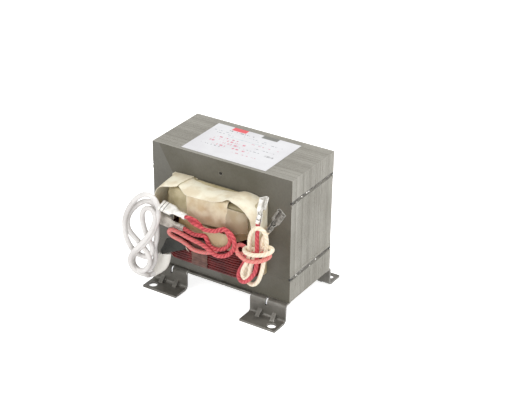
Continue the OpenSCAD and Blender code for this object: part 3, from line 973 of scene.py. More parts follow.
@dataclass
class Core:
    """Stack of E and I laminations, joined by a weld bead along four grooves.

    Its sizes are in millimetres.
    """

    half_width: float = 52.5
    half_depth: float = 25.5
    low: float = 14.2
    seam: float = 31.0
    seam_gap: float = 0.05
    high: float = 101.0
    window: tuple[float, float] = (17.5, 35.0)
    window_top: float = 83.5
    groove: float = 1.3
    upper_groove: float = 85.2
    relief: tuple[float, float] = (34.3, 81.9)
    relief_depth: float = 0.3
    relief_slope: float = 0.2
    pilot: tuple[float, float, float] = (0.0, 91.8, 1.3)
    sheets: int = 102
    air: float = 0.02
    slip: float = 0.09
    slip_reach: float = 40
    middles: tuple[float, float] = (58.0, 22.0)
    tone_drift: float = 0.22
    tone_spread: float = 0.16
    bead_radius: float = 1.15
    bead_depth: float = 0.72
    bead_setback: float = 2.4
    bead_taper: float = 1.2
    ripple: float = 0.95
    spatter: int = 4
    spatter_size: tuple[float, float, float] = (0.6, 1.6, 0.5)
    spatter_radius: float = 0.5
    # Painted shadows: a dark rod along the groove's undercut and dark rods in its end notches.
    undercut_shadow_radius: float = 0.4
    undercut_shadow_rise: float = 1.1
    undercut_shadow_inset: tuple[float, float] = (0.3, 0.15)
    notch_shadow_radius: float = 1.05
    notch_shadow_span: tuple[float, float] = (0.1, 2.2)

    def groove_arc(self, level: float, start: float, end: float) -> list[tuple[float, float]]:
        """Arc of a weld groove on the right side.

        Args:
            level: Height of the groove's axis.
            start: Angle of the arc's start in degrees, from straight down.
            end: Angle of its end.

        Returns:
            Points of the arc.
        """
        turns = np.radians(np.linspace(start, end, 7 if abs(end - start) <= 90 else 12))
        return [(self.half_width - self.groove * math.sin(t), level - self.groove * math.cos(t))
                for t in turns]

    def side_profile(self) -> list[tuple[float, float]]:
        """Right side of the E lamination, from the seam up to the top corner.

        Returns:
            Points of the side.
        """
        outer, inner = self.half_width, self.half_width - self.relief_depth
        low, high = self.relief
        slope = self.relief_slope
        profile = self.groove_arc(self.seam, 90, 180)
        profile += [(outer, low), (inner, low + slope), (inner, high - slope), (outer, high)]
        profile += self.groove_arc(self.upper_groove, 0, 180)
        return profile + [(outer, self.high)]

    def outlines(self) -> tuple[list[np.ndarray], list[np.ndarray]]:
        """Outlines of the laminations.

        Returns:
            The E lamination's outline and its pilot hole, and the I lamination's outline.
        """
        near, far = self.window
        side = self.side_profile()
        left = [(-x, z) for x, z in reversed(side)]
        gap, top = self.seam + self.seam_gap, self.window_top
        legs = [(-far, gap), (-far, top), (-near, top), (-near, gap),
                (near, gap), (near, top), (far, top), (far, gap)]
        x, z, radius = self.pilot
        turns = ring_angles(14)
        hole = np.stack([x + radius * np.cos(turns), z + radius * np.sin(turns)], 1)
        notch = self.groove_arc(self.seam, 0, 90)
        yoke = [(-self.half_width, self.low), (self.half_width, self.low)] + notch
        yoke = np.array(yoke + [(-x, z) for x, z in reversed(notch)])
        yoke[:, 1] = np.minimum(yoke[:, 1], self.seam - self.seam_gap)
        return [np.array(legs + side + left), hole], [yoke]

    def build(self) -> None:
        """Stacks the laminations and lays the weld beads in their grooves."""
        rng = np.random.default_rng(11)
        shapes = self.outlines()
        pitch = 2 * self.half_depth / self.sheets
        draft = Draft()
        cuts: list[Sequence[Sequence[int]] | None] = [None, None]
        drift = np.clip(np.cumsum(rng.normal(0, self.tone_spread, self.sheets)), -1, 1)
        for k in range(self.sheets):
            low = -self.half_depth + k * pitch
            tone = 0.5 + self.tone_drift * drift[k] + rng.normal(0, self.tone_spread)
            tone = float(np.clip(tone, 0, 1))
            slip = 0.0 if k in (0, self.sheets - 1) else self.slip
            for n, (loops, middle) in enumerate(zip(shapes, self.middles)):
                pull, drop = (rng.uniform(0, slip) if slip else 0.0 for _ in range(2))

                def place(flat: np.ndarray, level: float) -> np.ndarray:
                    """Places the sheet's points, drawn in a little from the outside.

                    Args:
                        flat: Points of its outline.
                        level: How far back the face lies.

                    Returns:
                        The points in metres.
                    """
                    x = flat[:, 0] * (1 - pull / self.half_width)
                    z = flat[:, 1] - (flat[:, 1] - middle) * drop / self.slip_reach
                    return np.stack([x, np.full_like(x, level), z], 1) * MM

                cuts[n] = draft.plate(loops, low, low + pitch - self.air, place, tone, cuts[n])
        draft.piece("core_laminations", CORE_STEEL, "lamination_steel",
                    ["core_e_stack", "core_i_yoke"], 40)
        for level, row in ((self.upper_groove, "upper"), (self.seam, "lower")):
            for side, hand in ((-1, "left"), (1, "right")):
                self.bead(side, level, f"{row}_{hand}", rng)

    def bead(self, side: int, level: float, place: str, rng: np.random.Generator) -> None:
        """Lays one rippled weld bead, with its spatter in a painted glint colour, and dark rods
        that paint the shadow of the groove's undercut and of its end notches.

        Args:
            side: -1 for the left side, 1 for the right.
            level: Height of its groove.
            place: Its row and its side, for its name.
            rng: Source of its unevenness.
        """
        reach = self.half_depth - self.bead_setback
        rings, knots, sides, wander = 240, 14, 12, 0.05
        along = np.linspace(-reach, reach, rings)
        drift = np.interp(along, np.linspace(-reach, reach, knots), rng.uniform(-1, 1, knots))
        ends = np.clip((reach - np.abs(along)) / self.bead_taper, 0.15, 1) ** 0.5
        wave = along[:, None] / self.ripple * math.pi + 0.5 * np.cos(ring_angles(sides))
        ripple = np.abs(np.sin(wave))
        wide = self.bead_radius * ends[:, None] * (0.9 + 0.09 * ripple + wander * drift[:, None])
        x = side * (self.half_width - self.bead_depth + wander * drift)
        line = np.stack([x, along, level + 2 * wander * drift], 1)
        draft = Draft()
        draft.tube(line * MM, wide * MM, sides, tone=0.0)
        grain = np.linspace(-0.5, 0.5, 7)[:, None] * self.spatter_size
        swell = np.sin(np.linspace(0.3, 2.84, 7))[:, None] * self.spatter_radius
        # Spatter takes tone 1, the weld's far colour: a painted glint.
        for spot in rng.uniform(-reach + 2, reach - 2, self.spatter):
            centre = (side * (self.half_width - 0.1), spot, level + rng.uniform(-0.9, 0.9))
            draft.tube((grain + centre) * MM, swell * MM, 8, tone=1.0)
        # A dark rod above the bead paints the shadow under the groove's upper edge.
        inset, setback = self.undercut_shadow_inset
        undercut_shadow_end = self.half_depth - setback
        self.shadow_rod(draft, side * (self.half_width - inset), (-undercut_shadow_end, undercut_shadow_end), level + self.undercut_shadow_rise,
                      60, self.undercut_shadow_radius, 8)
        # Dark rods in the groove's ends paint the shadow of its end notches.
        for end in (-1, 1):
            span = tuple(end * (self.half_depth - depth) for depth in self.notch_shadow_span)
            self.shadow_rod(draft, side * (self.half_width - self.notch_shadow_radius), span, level, 5,
                          self.notch_shadow_radius, sides)
        draft.piece("weld_" + place, WELD_METAL, "weld_metal", ["weld_bead_" + place], 40)

    @staticmethod
    def shadow_rod(draft: Draft, x: float, span: tuple[float, float], level: float, count: int,
                 radius: float, sides: int) -> None:
        """Adds a straight dark rod, a painted shadow in a hollow of the groove.

        Args:
            draft: Draft to add it to.
            x: Its place across the core.
            span: Where it starts and ends, from front to rear.
            level: Its height.
            count: Rings along it.
            radius: Its radius.
            sides: Sides of each ring.
        """
        along = np.linspace(*span, count)
        rod = np.stack([np.full(count, x), along, np.full(count, level)], 1)
        draft.tube(rod * MM, radius * MM, sides, tone=0.0, ridge=0.0)


# ---------------------------------------------------------------- windings


@dataclass
class CoilShape:
    """Plan of the coils: a round-cornered outside round the square core tongue.

    Each plan is half its width, half its depth and the radius of its corners, in millimetres.
    """

    outer: tuple[float, float, float] = (34.3, 43.5, 14.0)
    inner: tuple[float, float, float] = (17.9, 25.9, 0.96)
    corner: int = 14
    side: int = 22

    def ring(self, share: float, offset: float, level: float) -> np.ndarray:
        """Gives a loop of points round the coil.

        Args:
            share: 0 at the outside of the coil, 1 at the inside.
            offset: Distance outwards from there.
            level: Height of the loop.

        Returns:
            Points in millimetres.
        """
        x, y, r = (o + (i - o) * share + offset for o, i in zip(self.outer, self.inner))
        loop = round_outline(x, y, max(r, 0.3), self.corner, self.side)
        return np.column_stack([loop, np.full(len(loop), level)])

    def rear_half(self, loop: np.ndarray, from_y: float) -> np.ndarray:
        """Takes the part of a loop that stands out behind the core.

        Args:
            loop: A loop from ring.
            from_y: Distance of the core's face from the middle.

        Returns:
            The open row of points, from one side to the other.
        """
        row = np.roll(loop, self.side // 2, axis=0)[: len(loop) // 2].copy()
        row[:, 1] = np.maximum(row[:, 1], from_y)
        return row


@dataclass
class PrimaryWinding:
    """Lower coil of enamelled wire, with its tape bands and its loose paper flap."""

    shape: CoilShape = field(default_factory=CoilShape)
    low: float = 31.7
    high: float = 51.2
    turns: int = 11
    layers: int = 9
    inset: float = 0.9
    sway: float = 0.16
    bulge: float = 0.0022
    darkest: float = 0.55
    tape: tuple[float, float] = (-10.0, 2.0)
    tape_lift: float = 0.25
    tape_imprint: float = 0.12
    tape_wrinkle: float = 0.25
    tape_ragged: float = 0.5
    tape_samples: tuple[int, int] = (15, 90)
    tape_thickness: float = 0.22
    flap_thickness: float = 0.35
    frayed_threads: int = 12
    frayed_edge: tuple[Point, Point] = ((-15.2, -44.8, 46.9), (1.7, 0.0, -4.6))
    thread_radius: float = 0.14
    thread_reach: tuple[float, float] = (0.8, 2.6)

    def build(self) -> None:
        """Winds the coil and adds its tape and its flap."""
        rng = np.random.default_rng(23)
        pitch = (self.high - self.low) / self.turns
        radius = pitch / 2
        draft = Draft()
        low, high = self.low + self.inset, self.high - self.inset
        body = np.stack([self.shape.ring(share, offset, level) for share, offset, level in (
            (0, -1, low), (0, -1, high), (1, 0, high), (1, 0, low))])
        # The filler inside the turns takes tone 0.95, a painted shade that shows in the gaps
        # between wires.
        draft.add(body * MM, draft.mesh_of(4, body.shape[1], True, True), 0.95)
        for k in range(self.turns):
            self.turn(draft, 0, self.low + pitch * (k + 0.5), radius, rng)
        for k in range(1, self.layers):
            share = k / self.layers
            for level in (self.low + radius, self.high - radius):
                self.turn(draft, share, level, radius, rng)
        draft.piece("primary_coil", ENAMEL, "enamelled_wire", ["primary_winding"], 60)
        self.band(-1, "primary_band_front", "primary_tape_front")
        self.band(1, "primary_band_rear", "primary_tape_rear")
        self.flap()

    def turn(self, draft: Draft, share: float, level: float, radius: float,
             rng: np.random.Generator) -> None:
        """Adds one turn of wire.

        Args:
            draft: Draft to add it to.
            share: Place of its layer, from the outside to the inside.
            level: Height of the turn.
            radius: Radius of the wire.
            rng: Source of its unevenness.
        """
        loop = self.shape.ring(share, -radius, level)
        count = len(loop)
        loop[:, 2] += wobble(count, rng, self.sway, (1, 2, 3, 5))
        loop[:, :2] *= 1 + wobble(count, rng, self.bulge, (2, 3, 5, 7))[:, None]
        tone = float(rng.uniform(0, self.darkest))
        draft.tube(loop * MM, radius * 0.95 * MM, 8, closed=True, tone=tone)

    def band(self, side: int, name: str, node: str) -> None:
        """Adds a band of tape that follows the wires under it.

        Args:
            side: -1 for the front, 1 for the rear.
            name: Name of the piece.
            node: CAD node that it stands for.
        """
        left, right = self.tape
        face = self.shape.outer[1]
        low, high = self.low - self.tape_lift, self.high + self.tape_lift
        path = [(face - 17, high), (face - 8, high), (face - 1.4, high - 0.1),
                (face - 0.1, high - 1.0)]
        path += [(face + 0.28, z) for z in np.linspace(high - 2.5, low + 2.5, 5)]
        path += [(face - 0.1, low + 1.0), (face - 1.4, low + 0.1), (face - 8, low)]
        across_count, along_count = self.tape_samples
        line = fair(np.array(path), along_count)
        levels = line[:, 1]
        wires = (levels - self.low) / (self.high - self.low) * self.turns
        imprint = self.tape_imprint * np.cos(wires * TURN)
        rows = []
        for share in np.linspace(0, 1, across_count):
            x = left + (right - left) * share
            wrinkles = np.array([noise.noise((x * 0.3, z * 0.25, side)) for z in levels])
            ragged = np.array([noise.noise((z * 0.6, share * 9, 4)) for z in levels])
            across = x + self.tape_ragged * ragged * (abs(share - 0.5) * 2) ** 3
            out = side * (line[:, 0] + (imprint + self.tape_wrinkle * wrinkles))
            rows.append(np.stack([across, out, levels], 1))
        draft = Draft()
        draft.sheet(np.array(rows) * MM, self.tape_thickness * MM)
        draft.piece(name, CLOTH, "cloth_tape", [node], 60)

    def flap(self) -> None:
        """Adds the stiff dark flap of insulation, with a frayed corner."""
        draft = Draft()
        draft.sheet(net((
            ((-36.2, -41.6, 33.2), (-32.2, -42.8, 39.6), (-28.9, -43.7, 45.3), (-22, -44.2, 46.5),
             (-15.8, -44.5, 47.3)),
            ((-35.6, -42.1, 32), (-31, -43.3, 37), (-26.5, -44.2, 41.5), (-20.5, -44.6, 44),
             (-14.2, -44.9, 45.6)),
            ((-34.2, -42.3, 30.8), (-30.2, -43.5, 33.6), (-25.6, -44.4, 36.2), (-20, -44.8, 39),
             (-13.6, -45, 42.4)),
        ), 14, 30), self.flap_thickness * MM, 0.0)
        rng = np.random.default_rng(31)
        corner, edge = np.array(self.frayed_edge)
        for share in np.linspace(0, 1, self.frayed_threads):
            root = corner + edge * share
            reach = rng.uniform(*self.thread_reach)
            tip = root + (reach, -rng.uniform(0, 0.5), -reach * rng.uniform(0.2, 1.1))
            draft.tube(np.linspace(root, tip, 4) * MM, self.thread_radius * MM, 5, tone=1.0)
        draft.piece("primary_paper_flap", FISH_PAPER, "dark_fish_paper", ["primary_flap"])


@dataclass
class SecondaryWinding:
    """Upper coil, wrapped in varnished paper, with its front and rear tapes."""

    shape: CoilShape = field(default_factory=CoilShape)
    low: float = 62.3
    high: float = 82.8
    laps: int = 23
    lap_height: float = 0.22
    lap_groove: float = 0.25
    groove_share: float = 0.06
    crease: float = 0.55
    calm_inside: float = 24
    calm_blend: float = 8
    samples: int = 92
    wrap_edge: float = 0.3
    strip: float = 0.28
    corner_strip: float = 0.25

    def build(self) -> None:
        """Wraps the coil and adds its tapes."""
        profile = (
            (0, -2.4, self.low), (0, -0.9, self.low + 0.3), (0, -0.2, self.low + 1.3),
            (0, 0.1, self.low + 4), (0, 0.25, self.low + 9), (0, 0.2, self.low + 14),
            (0, -0.1, self.high - 2.6), (0, -0.9, self.high - 0.9), (0, -2.6, self.high - 0.1),
            (0.3, 0, self.high), (0.7, 0, self.high - 0.2), (1, 0, self.high - 0.5),
            (1, 0, self.low + 0.5), (0.5, 0, self.low))
        rows = np.stack([self.shape.ring(*row) for row in profile])
        rows = fair(np.concatenate([rows, rows[:1]]), self.samples)[:-1]
        count = rows.shape[1]
        lap = np.arange(count) / count * self.laps % 1
        laps = self.lap_height * lap - self.lap_groove * (lap < self.groove_share)
        creases = np.array([[noise.noise((x * 0.16 + z * 0.05, y * 0.16, z * 0.3))
                             for x, y, z in row] for row in rows])
        out = rows * (1, 1, 0)
        away = np.linalg.norm(out, axis=2)
        out /= np.maximum(away, 1e-9)[..., None]
        loose = np.clip((away - self.calm_inside) / self.calm_blend, 0, 1)
        rows = rows + out * ((self.crease * creases + laps) * loose)[..., None]
        draft = Draft()
        draft.add(rows * MM, draft.mesh_of(*rows.shape[:2], True, True), 0.4)
        self.skirt(draft)
        draft.piece("secondary_coil", WRAP_PAPER, "paper_tape", ["secondary_winding"])
        self.front_tape()
        self.rear_tape()

    def skirt(self, draft: Draft) -> None:
        """Adds the edge of the wrap that hangs below the coil at the front.

        Args:
            draft: Draft to add it to.
        """
        draft.sheet(net((
            ((-20, -42.2, 63.4), (-12, -43.2, 63.2), (0, -43.5, 63), (12, -43.3, 63),
             (22, -42.2, 63.2), (30, -37.5, 63.4)),
            ((-20.5, -42.6, 59.4), (-12, -43.8, 58.6), (0, -44, 58.4), (12, -43.8, 59),
             (22, -42.4, 60.2), (30, -37.4, 61.5)),
            ((-21, -42.8, 56.4), (-12, -44.1, 54.2), (0, -44.2, 54), (12, -43.9, 55.2),
             (22, -42.3, 57.2), (30, -37.2, 59.8)),
        ), 14, 50), self.wrap_edge * MM, 0.15)

    def front_tape(self) -> None:
        """Lays the broad strip of paper over the front of the coil, and a corner strip darkened
        with painted shade where the paper arch overhangs it.
        """
        draft = Draft()
        draft.sheet(net((
            at_depth(-36, (-12.4, 83.4), (-5, 83.7), (2, 83.8), (9, 83.8), (17.4, 84.2)),
            ((-12.6, -42.4, 83.1), (-5, -42.8, 83.3), (2, -42.9, 83.5), (9, -42.8, 83.7),
             (17.5, -42.2, 84.2)),
            ((-12.7, -44.8, 80.8), (-5, -45.2, 81.1), (2, -45.4, 81.4), (9, -45.2, 81.5),
             (17.6, -44.4, 81.8)),
            ((-12.6, -44.9, 75.5), (-5, -45.6, 75.2), (2, -45.3, 75.4), (9, -45.6, 75),
             (17.4, -44.5, 75.6)),
            ((-12.3, -44.7, 69.6), (-5, -45.3, 69.2), (2, -45.5, 69.5), (9, -45.1, 69.2),
             (17, -44.3, 69.4)),
            ((-11.8, -44.5, 65.4), (-5, -45, 65.2), (2, -45.1, 65), (9, -44.9, 65.4),
             (16.6, -44.1, 65.6)),
        ), 44, 44), self.strip * MM, 0.0)
        # The corner strip takes tone 0.55 of the far colour: painted shade under the arch of the
        # top sheet.
        draft.sheet(net((
            ((16.4, -44.3, 80.5), (20.3, -44.4, 80.6), (24, -43.9, 80.2), (27.2, -42.6, 79.4),
             (29.6, -40.8, 78.2)),
            ((16.5, -44.6, 75.5), (20.3, -44.7, 75.5), (24.2, -44.2, 75.2), (27.6, -42.9, 75),
             (30.2, -41, 74.6)),
            ((16.4, -44.5, 70), (20.3, -44.6, 70), (24.2, -44.1, 70.2), (27.6, -42.8, 70),
             (30.4, -40.9, 70)),
            ((16.2, -44.2, 65), (20.3, -44.3, 64.6), (24.2, -43.8, 64.8), (27.6, -42.4, 65),
             (30.2, -40.6, 65.4)),
        ), 30, 30), self.corner_strip * MM, 0.55)
        draft.piece("secondary_tape_strip_front", STRIP_PAPER, "paper_tape",
                    ["secondary_tape_front"])

    def rear_tape(self) -> None:
        """Lays the plain strip of paper over the rear of the coil."""
        draft = Draft()
        profile = ((34, 82.6), (42, 82.3), (43.6, 80.2), (44.0, 75), (44.25, 69), (44.3, 65.5))
        rows = [[(x, y + 0.15 * math.sin(x * 0.5 + y), z) for x in (-12.5, -4, 5, 12, 18.5)]
                for y, z in profile]
        draft.sheet(net(rows, 30, 30), self.strip * MM, 0.0)
        draft.piece("secondary_tape_strip_rear", STRIP_PAPER, "paper_tape",
                    ["secondary_tape_rear"])


@dataclass
class PaperCover:
    """Insulating paper laid over the ends of the secondary coil."""

    shape: CoilShape = field(default_factory=CoilShape)
    thickness: float = 0.45
    root: float = 25.9

    def build(self) -> None:
        """Folds the front and the rear cover."""
        covers = (
            ("paper_cover_sheets_front", "paper_cover_front",
             (self.top_sheet(), self.hood(), self.scrap())),
            ("paper_cover_sheet_rear", "paper_cover_rear", (self.rear_sheet(),)))
        for name, node, sheets in covers:
            draft = Draft()
            for sheet in sheets:
                draft.sheet(sheet, self.thickness * MM)
            draft.piece(name, PAPER, "insulating_paper", [node])

    @staticmethod
    def top_sheet() -> np.ndarray:
        """Sheet on top of the coil, which arches down over its right end.

        Returns:
            Grid of points in metres.
        """
        return net((
            at_depth(-25.9, (-21.5, 83.6), (-14, 82.2), (-7, 81.4), (0.6, 81.4), (8.2, 82),
                     (14.3, 83), (18.8, 84.6), (23.3, 84.6), (27.8, 83.9), (31.2, 82),
                     (33.4, 78.5), (34.3, 73.5), (34.8, 56)),
            at_depth(-30, (-21.5, 84), (-14, 83.4), (-7, 83), (0.6, 83), (8.2, 83.4), (14.3, 84.2),
                     (18.8, 85.2), (23.3, 85.1), (27.9, 84.2), (31.6, 82), (34, 78.3),
                     (34.9, 73.3), (35.6, 56)),
            ((-21.5, -36.5, 84), (-14, -38, 84), (-7, -38, 84), (0.6, -38, 84.2), (8.2, -38, 84.5),
             (14.3, -38, 85.1), (18.6, -38, 85.9), (23, -38, 85.3), (27.8, -38, 84.2),
             (31.8, -38, 81.7), (34.7, -38, 78.1), (36.1, -38, 73), (36.7, -38, 56)),
            ((-21.5, -39.8, 83.9), (-14, -43, 83), (-7, -43, 83.2), (0.6, -43, 83.5),
             (8.2, -43, 84), (13.8, -42.6, 85.1), (17.6, -42, 86.2), (21.2, -42, 85.2),
             (25.5, -42, 83.8), (29.3, -42, 81.5), (32.7, -42, 78.1), (35.2, -42, 73),
             (35.9, -42, 56)),
            ((-21.5, -41, 83.6), (-13.4, -45.4, 81.7), (-7, -45.8, 81.9), (0.6, -45.9, 82.2),
             (8, -45.7, 82.9), (13.6, -44.8, 84.5), (17.3, -43.6, 86.3), (20.6, -43.6, 85.2),
             (24.6, -43.6, 84), (28.1, -43.6, 82), (31.5, -43.6, 79), (34.2, -43.6, 73.8),
             (35.2, -43.6, 56)),
        ), 36, 90)

    @staticmethod
    def scrap() -> np.ndarray:
        """Loose end of the paper, which hangs behind the filament leads.

        Returns:
            Grid of points in metres.
        """
        return net((
            ((1.5, -46.4, 64), (6, -46.8, 63.9), (10, -48, 64.4), (15, -48.2, 64.2),
             (20, -47.4, 63.8), (24.5, -46.2, 63.4)),
            ((1.2, -46.9, 60.5), (6, -47.4, 60), (10, -48.1, 60.3), (15, -48.3, 59.8),
             (20, -47.8, 60), (24.8, -46.8, 60)),
            ((1.8, -46.8, 57), (6, -47.6, 56.6), (11, -47.8, 57), (16, -48.1, 56.3),
             (21, -47.4, 56.8), (24.6, -46.9, 57)),
            ((2.6, -46.4, 54.8), (6.5, -46.9, 53.4), (11.2, -47.4, 53), (16, -47, 53.4),
             (20.8, -47.2, 53.2), (24, -46.5, 54)),
        ), 24, 60)

    @staticmethod
    def hood() -> np.ndarray:
        """Strip that folds over the left end of the coil.

        Returns:
            Grid of points in metres.
        """
        return net((
            at_depth(-25.9, (-20, 84.3), (-24, 84), (-29, 83.8), (-33, 83.4), (-35.4, 81.4),
                     (-36.6, 78), (-37.2, 73), (-37.4, 66), (-37.2, 58)),
            at_depth(-33, (-20.4, 85), (-24.4, 84.5), (-28.6, 84.1), (-32.2, 83.5), (-34.8, 81.4),
                     (-36.8, 77.6), (-38, 72.5), (-38.4, 66), (-38, 57.6)),
            ((-21, -40, 85.2), (-24.4, -40.5, 84.6), (-28.2, -41, 84), (-31.6, -41, 83.2),
             (-34.6, -41, 80.8), (-37, -41, 77), (-38.4, -41, 72.4), (-39, -41, 66),
             (-38.4, -41, 57.4)),
            ((-21.6, -42.6, 84), (-24.4, -44.4, 83.8), (-27.9, -45.2, 83.3), (-31, -45.6, 82.6),
             (-34.4, -44.8, 80.4), (-37, -43.9, 77.2), (-38.6, -43.6, 72.8), (-39.4, -43.4, 66),
             (-38.8, -43, 57.2)),
        ), 30, 60)

    def rear_sheet(self) -> np.ndarray:
        """Sheet that wraps the rear end of the coil, as a wall and a roof.

        Returns:
            Grid of points in metres.
        """
        profile = ((0, 0.95, 68.9), (0, 1.0, 74), (0, 0.95, 79), (0, 0.7, 82.4), (0, -1.2, 83.7),
                   (0.35, 0, 84), (0.7, 0, 83.9), (0.98, 0, 83.7))
        rows = [self.shape.rear_half(self.shape.ring(*row), self.root) for row in profile]
        return fair(np.array(rows), 44) * MM


@dataclass
class FilamentWinding:
    """Two turns of braided lead round the tongue, between the coils.

    The braid's lay is how far its strands turn in one step along the lead, in radians.
    """

    level: float = 60.6
    radius: float = 1.36
    strands: int = 4
    braid: float = 0.06
    lay: float = 0.75
    step: float = 0.5
    sides: int = 12
    turns: tuple[tuple[float, float, float], ...] = ((22.1, 30.1, 4.0), (19.3, 27.3, 1.6))

    def build(self) -> None:
        """Winds the two turns."""
        draft = Draft()
        for x, y, corner in self.turns:
            loop = round_outline(x, y, corner, 12, 24)
            line = np.column_stack([loop, np.full(len(loop), self.level)])
            line = evenly(np.concatenate([line, line[:1]]), self.step)[:-1]
            run = np.arange(len(line))[:, None] * self.lay
            crest = (np.cos(self.strands * ring_angles(self.sides) + run) + 1) / 2
            wide = self.radius * (1 - self.braid + self.braid * crest)
            # The ridge height also places the finish's painted shade in the valleys and painted
            # highlight on the crests.
            draft.tube(line * MM, wide * MM, self.sides, closed=True, ridge=crest)
        draft.piece("filament_turns", FILAMENT_WIRE, "filament_wire", ["filament_winding"], 75)


# ---------------------------------------------------------------- leads and terminals


class Cover(Enum):
    """What a lead is covered with."""

    SMOOTH = 0
    BRAIDED = 1


def set_at(at: Point, tilt: float, roll: float) -> Matrix:
    """Place of a part drawn along +X: first rolled, then tilted about Y, then moved to a point."""
    turn = Matrix.Rotation(math.radians(tilt), 4, "Y") @ Matrix.Rotation(math.radians(roll), 4, "X")
    return Matrix.Translation(Vector(at) * MM) @ turn


@dataclass
class PushOnTerminal:
    """A push-on terminal, rolled from thin tinned strip.

    Each section is a distance along it, half of its flat, the radius of its curls, and how far
    they curl in radians. Creases are distances along it, where a band of painted shade marks a fold
    across the strip.
    """

    lead: str
    at: Point
    tilt: float
    roll: float
    finish: Finish = TINNED
    length: float = 19.4
    breadth: float = 1.0
    creases: Sequence[float] = ()
    crease_half: float = 0.22
    strip: float = 0.42
    sections: Sequence[tuple[float, float, float, float]] = (
        (0.0, 0.25, 1.62, 2.95), (2.5, 0.25, 1.62, 2.95), (2.8, 1.0, 1.15, 1.2),
        (3.4, 1.0, 1.15, 1.2), (3.7, 0.3, 1.45, 2.95), (6.6, 0.3, 1.45, 2.95),
        (7.0, 0.9, 1.2, 1.5), (8.2, 1.5, 1.1, 1.05), (9.9, 2.35, 1.15, 1.15),
        (10.4, 2.55, 1.2, 3.5), (10.9, 2.6, 1.2, 3.75), (19.4, 2.6, 1.25, 3.7))
    wires: int = 7
    wire_radius: float = 0.3
    wire_spread: float = 0.55
    wire_line: tuple[Point, Point] = ((1.0, 0, -0.4), (7.6, 0, -0.3))

    def build(self) -> bpy.types.Object:
        """Rolls the strip from its crimps to its socket.

        Returns:
            The terminal.
        """
        along, *shape = np.array(self.sections).T
        edge = self.crease_half
        lines = [crease + k for crease in self.creases for k in (-edge, edge)]
        stations = np.unique(np.concatenate([along, np.linspace(0, along[-1], 40), lines]))
        half, radius, curl = (np.interp(stations, along, values) for values in shape)
        share = np.linspace(-1, 1, 41)
        grid = np.zeros((len(stations), len(share), 3))
        for i, x in enumerate(stations):
            reach = half[i] + radius[i] * curl[i]
            run = np.abs(share) * reach
            angle = np.maximum(run - half[i], 0) / radius[i]
            y = np.minimum(run, half[i]) + radius[i] * np.sin(angle)
            z = -radius[i] * np.cos(angle)
            grid[i] = np.stack([np.full_like(y, x), np.sign(share) * y, z], 1)
        grid *= (self.length / along[-1], self.breadth, 1)
        middles = (stations[1:] + stations[:-1]) / 2
        # Strips on a crease take tone 1, the terminal's far colour: painted shade in the fold.
        crease_shade = np.zeros(len(middles))
        for crease in self.creases:
            crease_shade[np.abs(middles - crease) < edge] = 1
        draft = Draft()
        draft.sheet(grid * MM, self.strip * MM, crease_shade)
        middle = np.linspace(*self.wire_line, 8) * MM
        for k in range(self.wires):
            turn = k * math.pi / 3
            off = np.array((0, math.cos(turn), math.sin(turn))) * self.wire_spread * MM * (k < 6)
            draft.tube(middle + off, self.wire_radius * MM, 6, tone=0.0)
        move = set_at(self.at, self.tilt, self.roll)
        draft.points = [np.array([move @ Vector(p) for p in part]) for part in draft.points]
        winding, letter = self.lead.split("_")
        return draft.piece("terminal_" + self.lead, self.finish, "tinned_terminal",
                           [f"{winding}_terminal_{letter}"])


@dataclass
class Lead:
    """A free lead that leaves a winding and ends in its terminal or boot."""

    name: str
    route: Row
    diameter: float
    finish: Finish
    slot: str
    nodes: Sequence[str]
    cover: Cover = Cover.BRAIDED
    threads: int = 3
    lay: float = 9.0
    relief: float = 0.08
    fine_share: float = 0.15
    fine_threads: int = 9
    doubled: float = 0.0
    twist: float = 26.0
    swell: float = 1.05
    pinch: float = 0.38
    fade: Sequence[tuple[float, float]] = ((0.0, 0.0), (1.0, 0.0))
    step: float = 0.42
    easing: int = 12

    def line(self) -> np.ndarray:
        """Smooth middle line of the lead.

        Returns:
            Evenly spaced points in metres.
        """
        points = np.array(self.route, float) * MM
        line = evenly(fair(points, 24 * len(points)), self.step * MM)
        for _ in range(self.easing):
            line[1:-1] += 0.5 * ((line[:-2] + line[2:]) / 2 - line[1:-1])
        return evenly(line, self.step * MM)

    def braid(self, at: np.ndarray, sides: int) -> tuple[np.ndarray, np.ndarray]:
        """Relief of the braided cover, which shows two strands where the lead is doubled.

        Args:
            at: Distance of each ring along the lead, as a column.
            sides: Sides of each ring.

        Returns:
            Height of each point from 0 to 1, and its radius as a share of the lead's.
        """
        turn, run = ring_angles(sides), at / self.lay * TURN
        strand = np.abs(np.cos((self.threads * turn + run * self.threads) / 2))
        fine = (np.cos(self.fine_threads * turn - run * 5) + 1) / 2
        crest = np.clip((1 - self.fine_share) * strand + self.fine_share * fine, 0, 1)
        wide = 1 - self.relief + self.relief * crest
        if not self.doubled:
            return crest, wide
        near = np.clip((at - at[-1] + self.doubled) / 3, 0, 1)
        lobes = np.abs(np.cos(turn + at / self.twist * TURN))
        wide = wide * (1 + near * (self.swell * lobes ** 1.5 - self.pinch))
        return crest * (1 - near * (1 - lobes) ** 1.2), wide

    def build(self, end: bpy.types.Object) -> None:
        """Lays the lead on its route.

        Args:
            end: The piece on its far end; not used.
        """
        line = self.line()
        at = np.linspace(0, length_of(line) / MM, len(line))[:, None]
        sides, crest, wide = 14, 0.5, 1.0
        if self.cover is Cover.BRAIDED:
            sides = 20
            crest, wide = self.braid(at, sides)
        fade = np.interp(at[:, 0] / at[-1, 0], *np.array(self.fade, float).T)
        draft = Draft()
        # The ridge height also places the finish's painted shade in the valleys and painted
        # highlight on the crests.
        draft.tube(line, self.diameter / 2 * MM * wide, sides, tone=fade, ridge=crest)
        lead = draft.piece(self.name, self.finish, self.slot, self.nodes, 75)


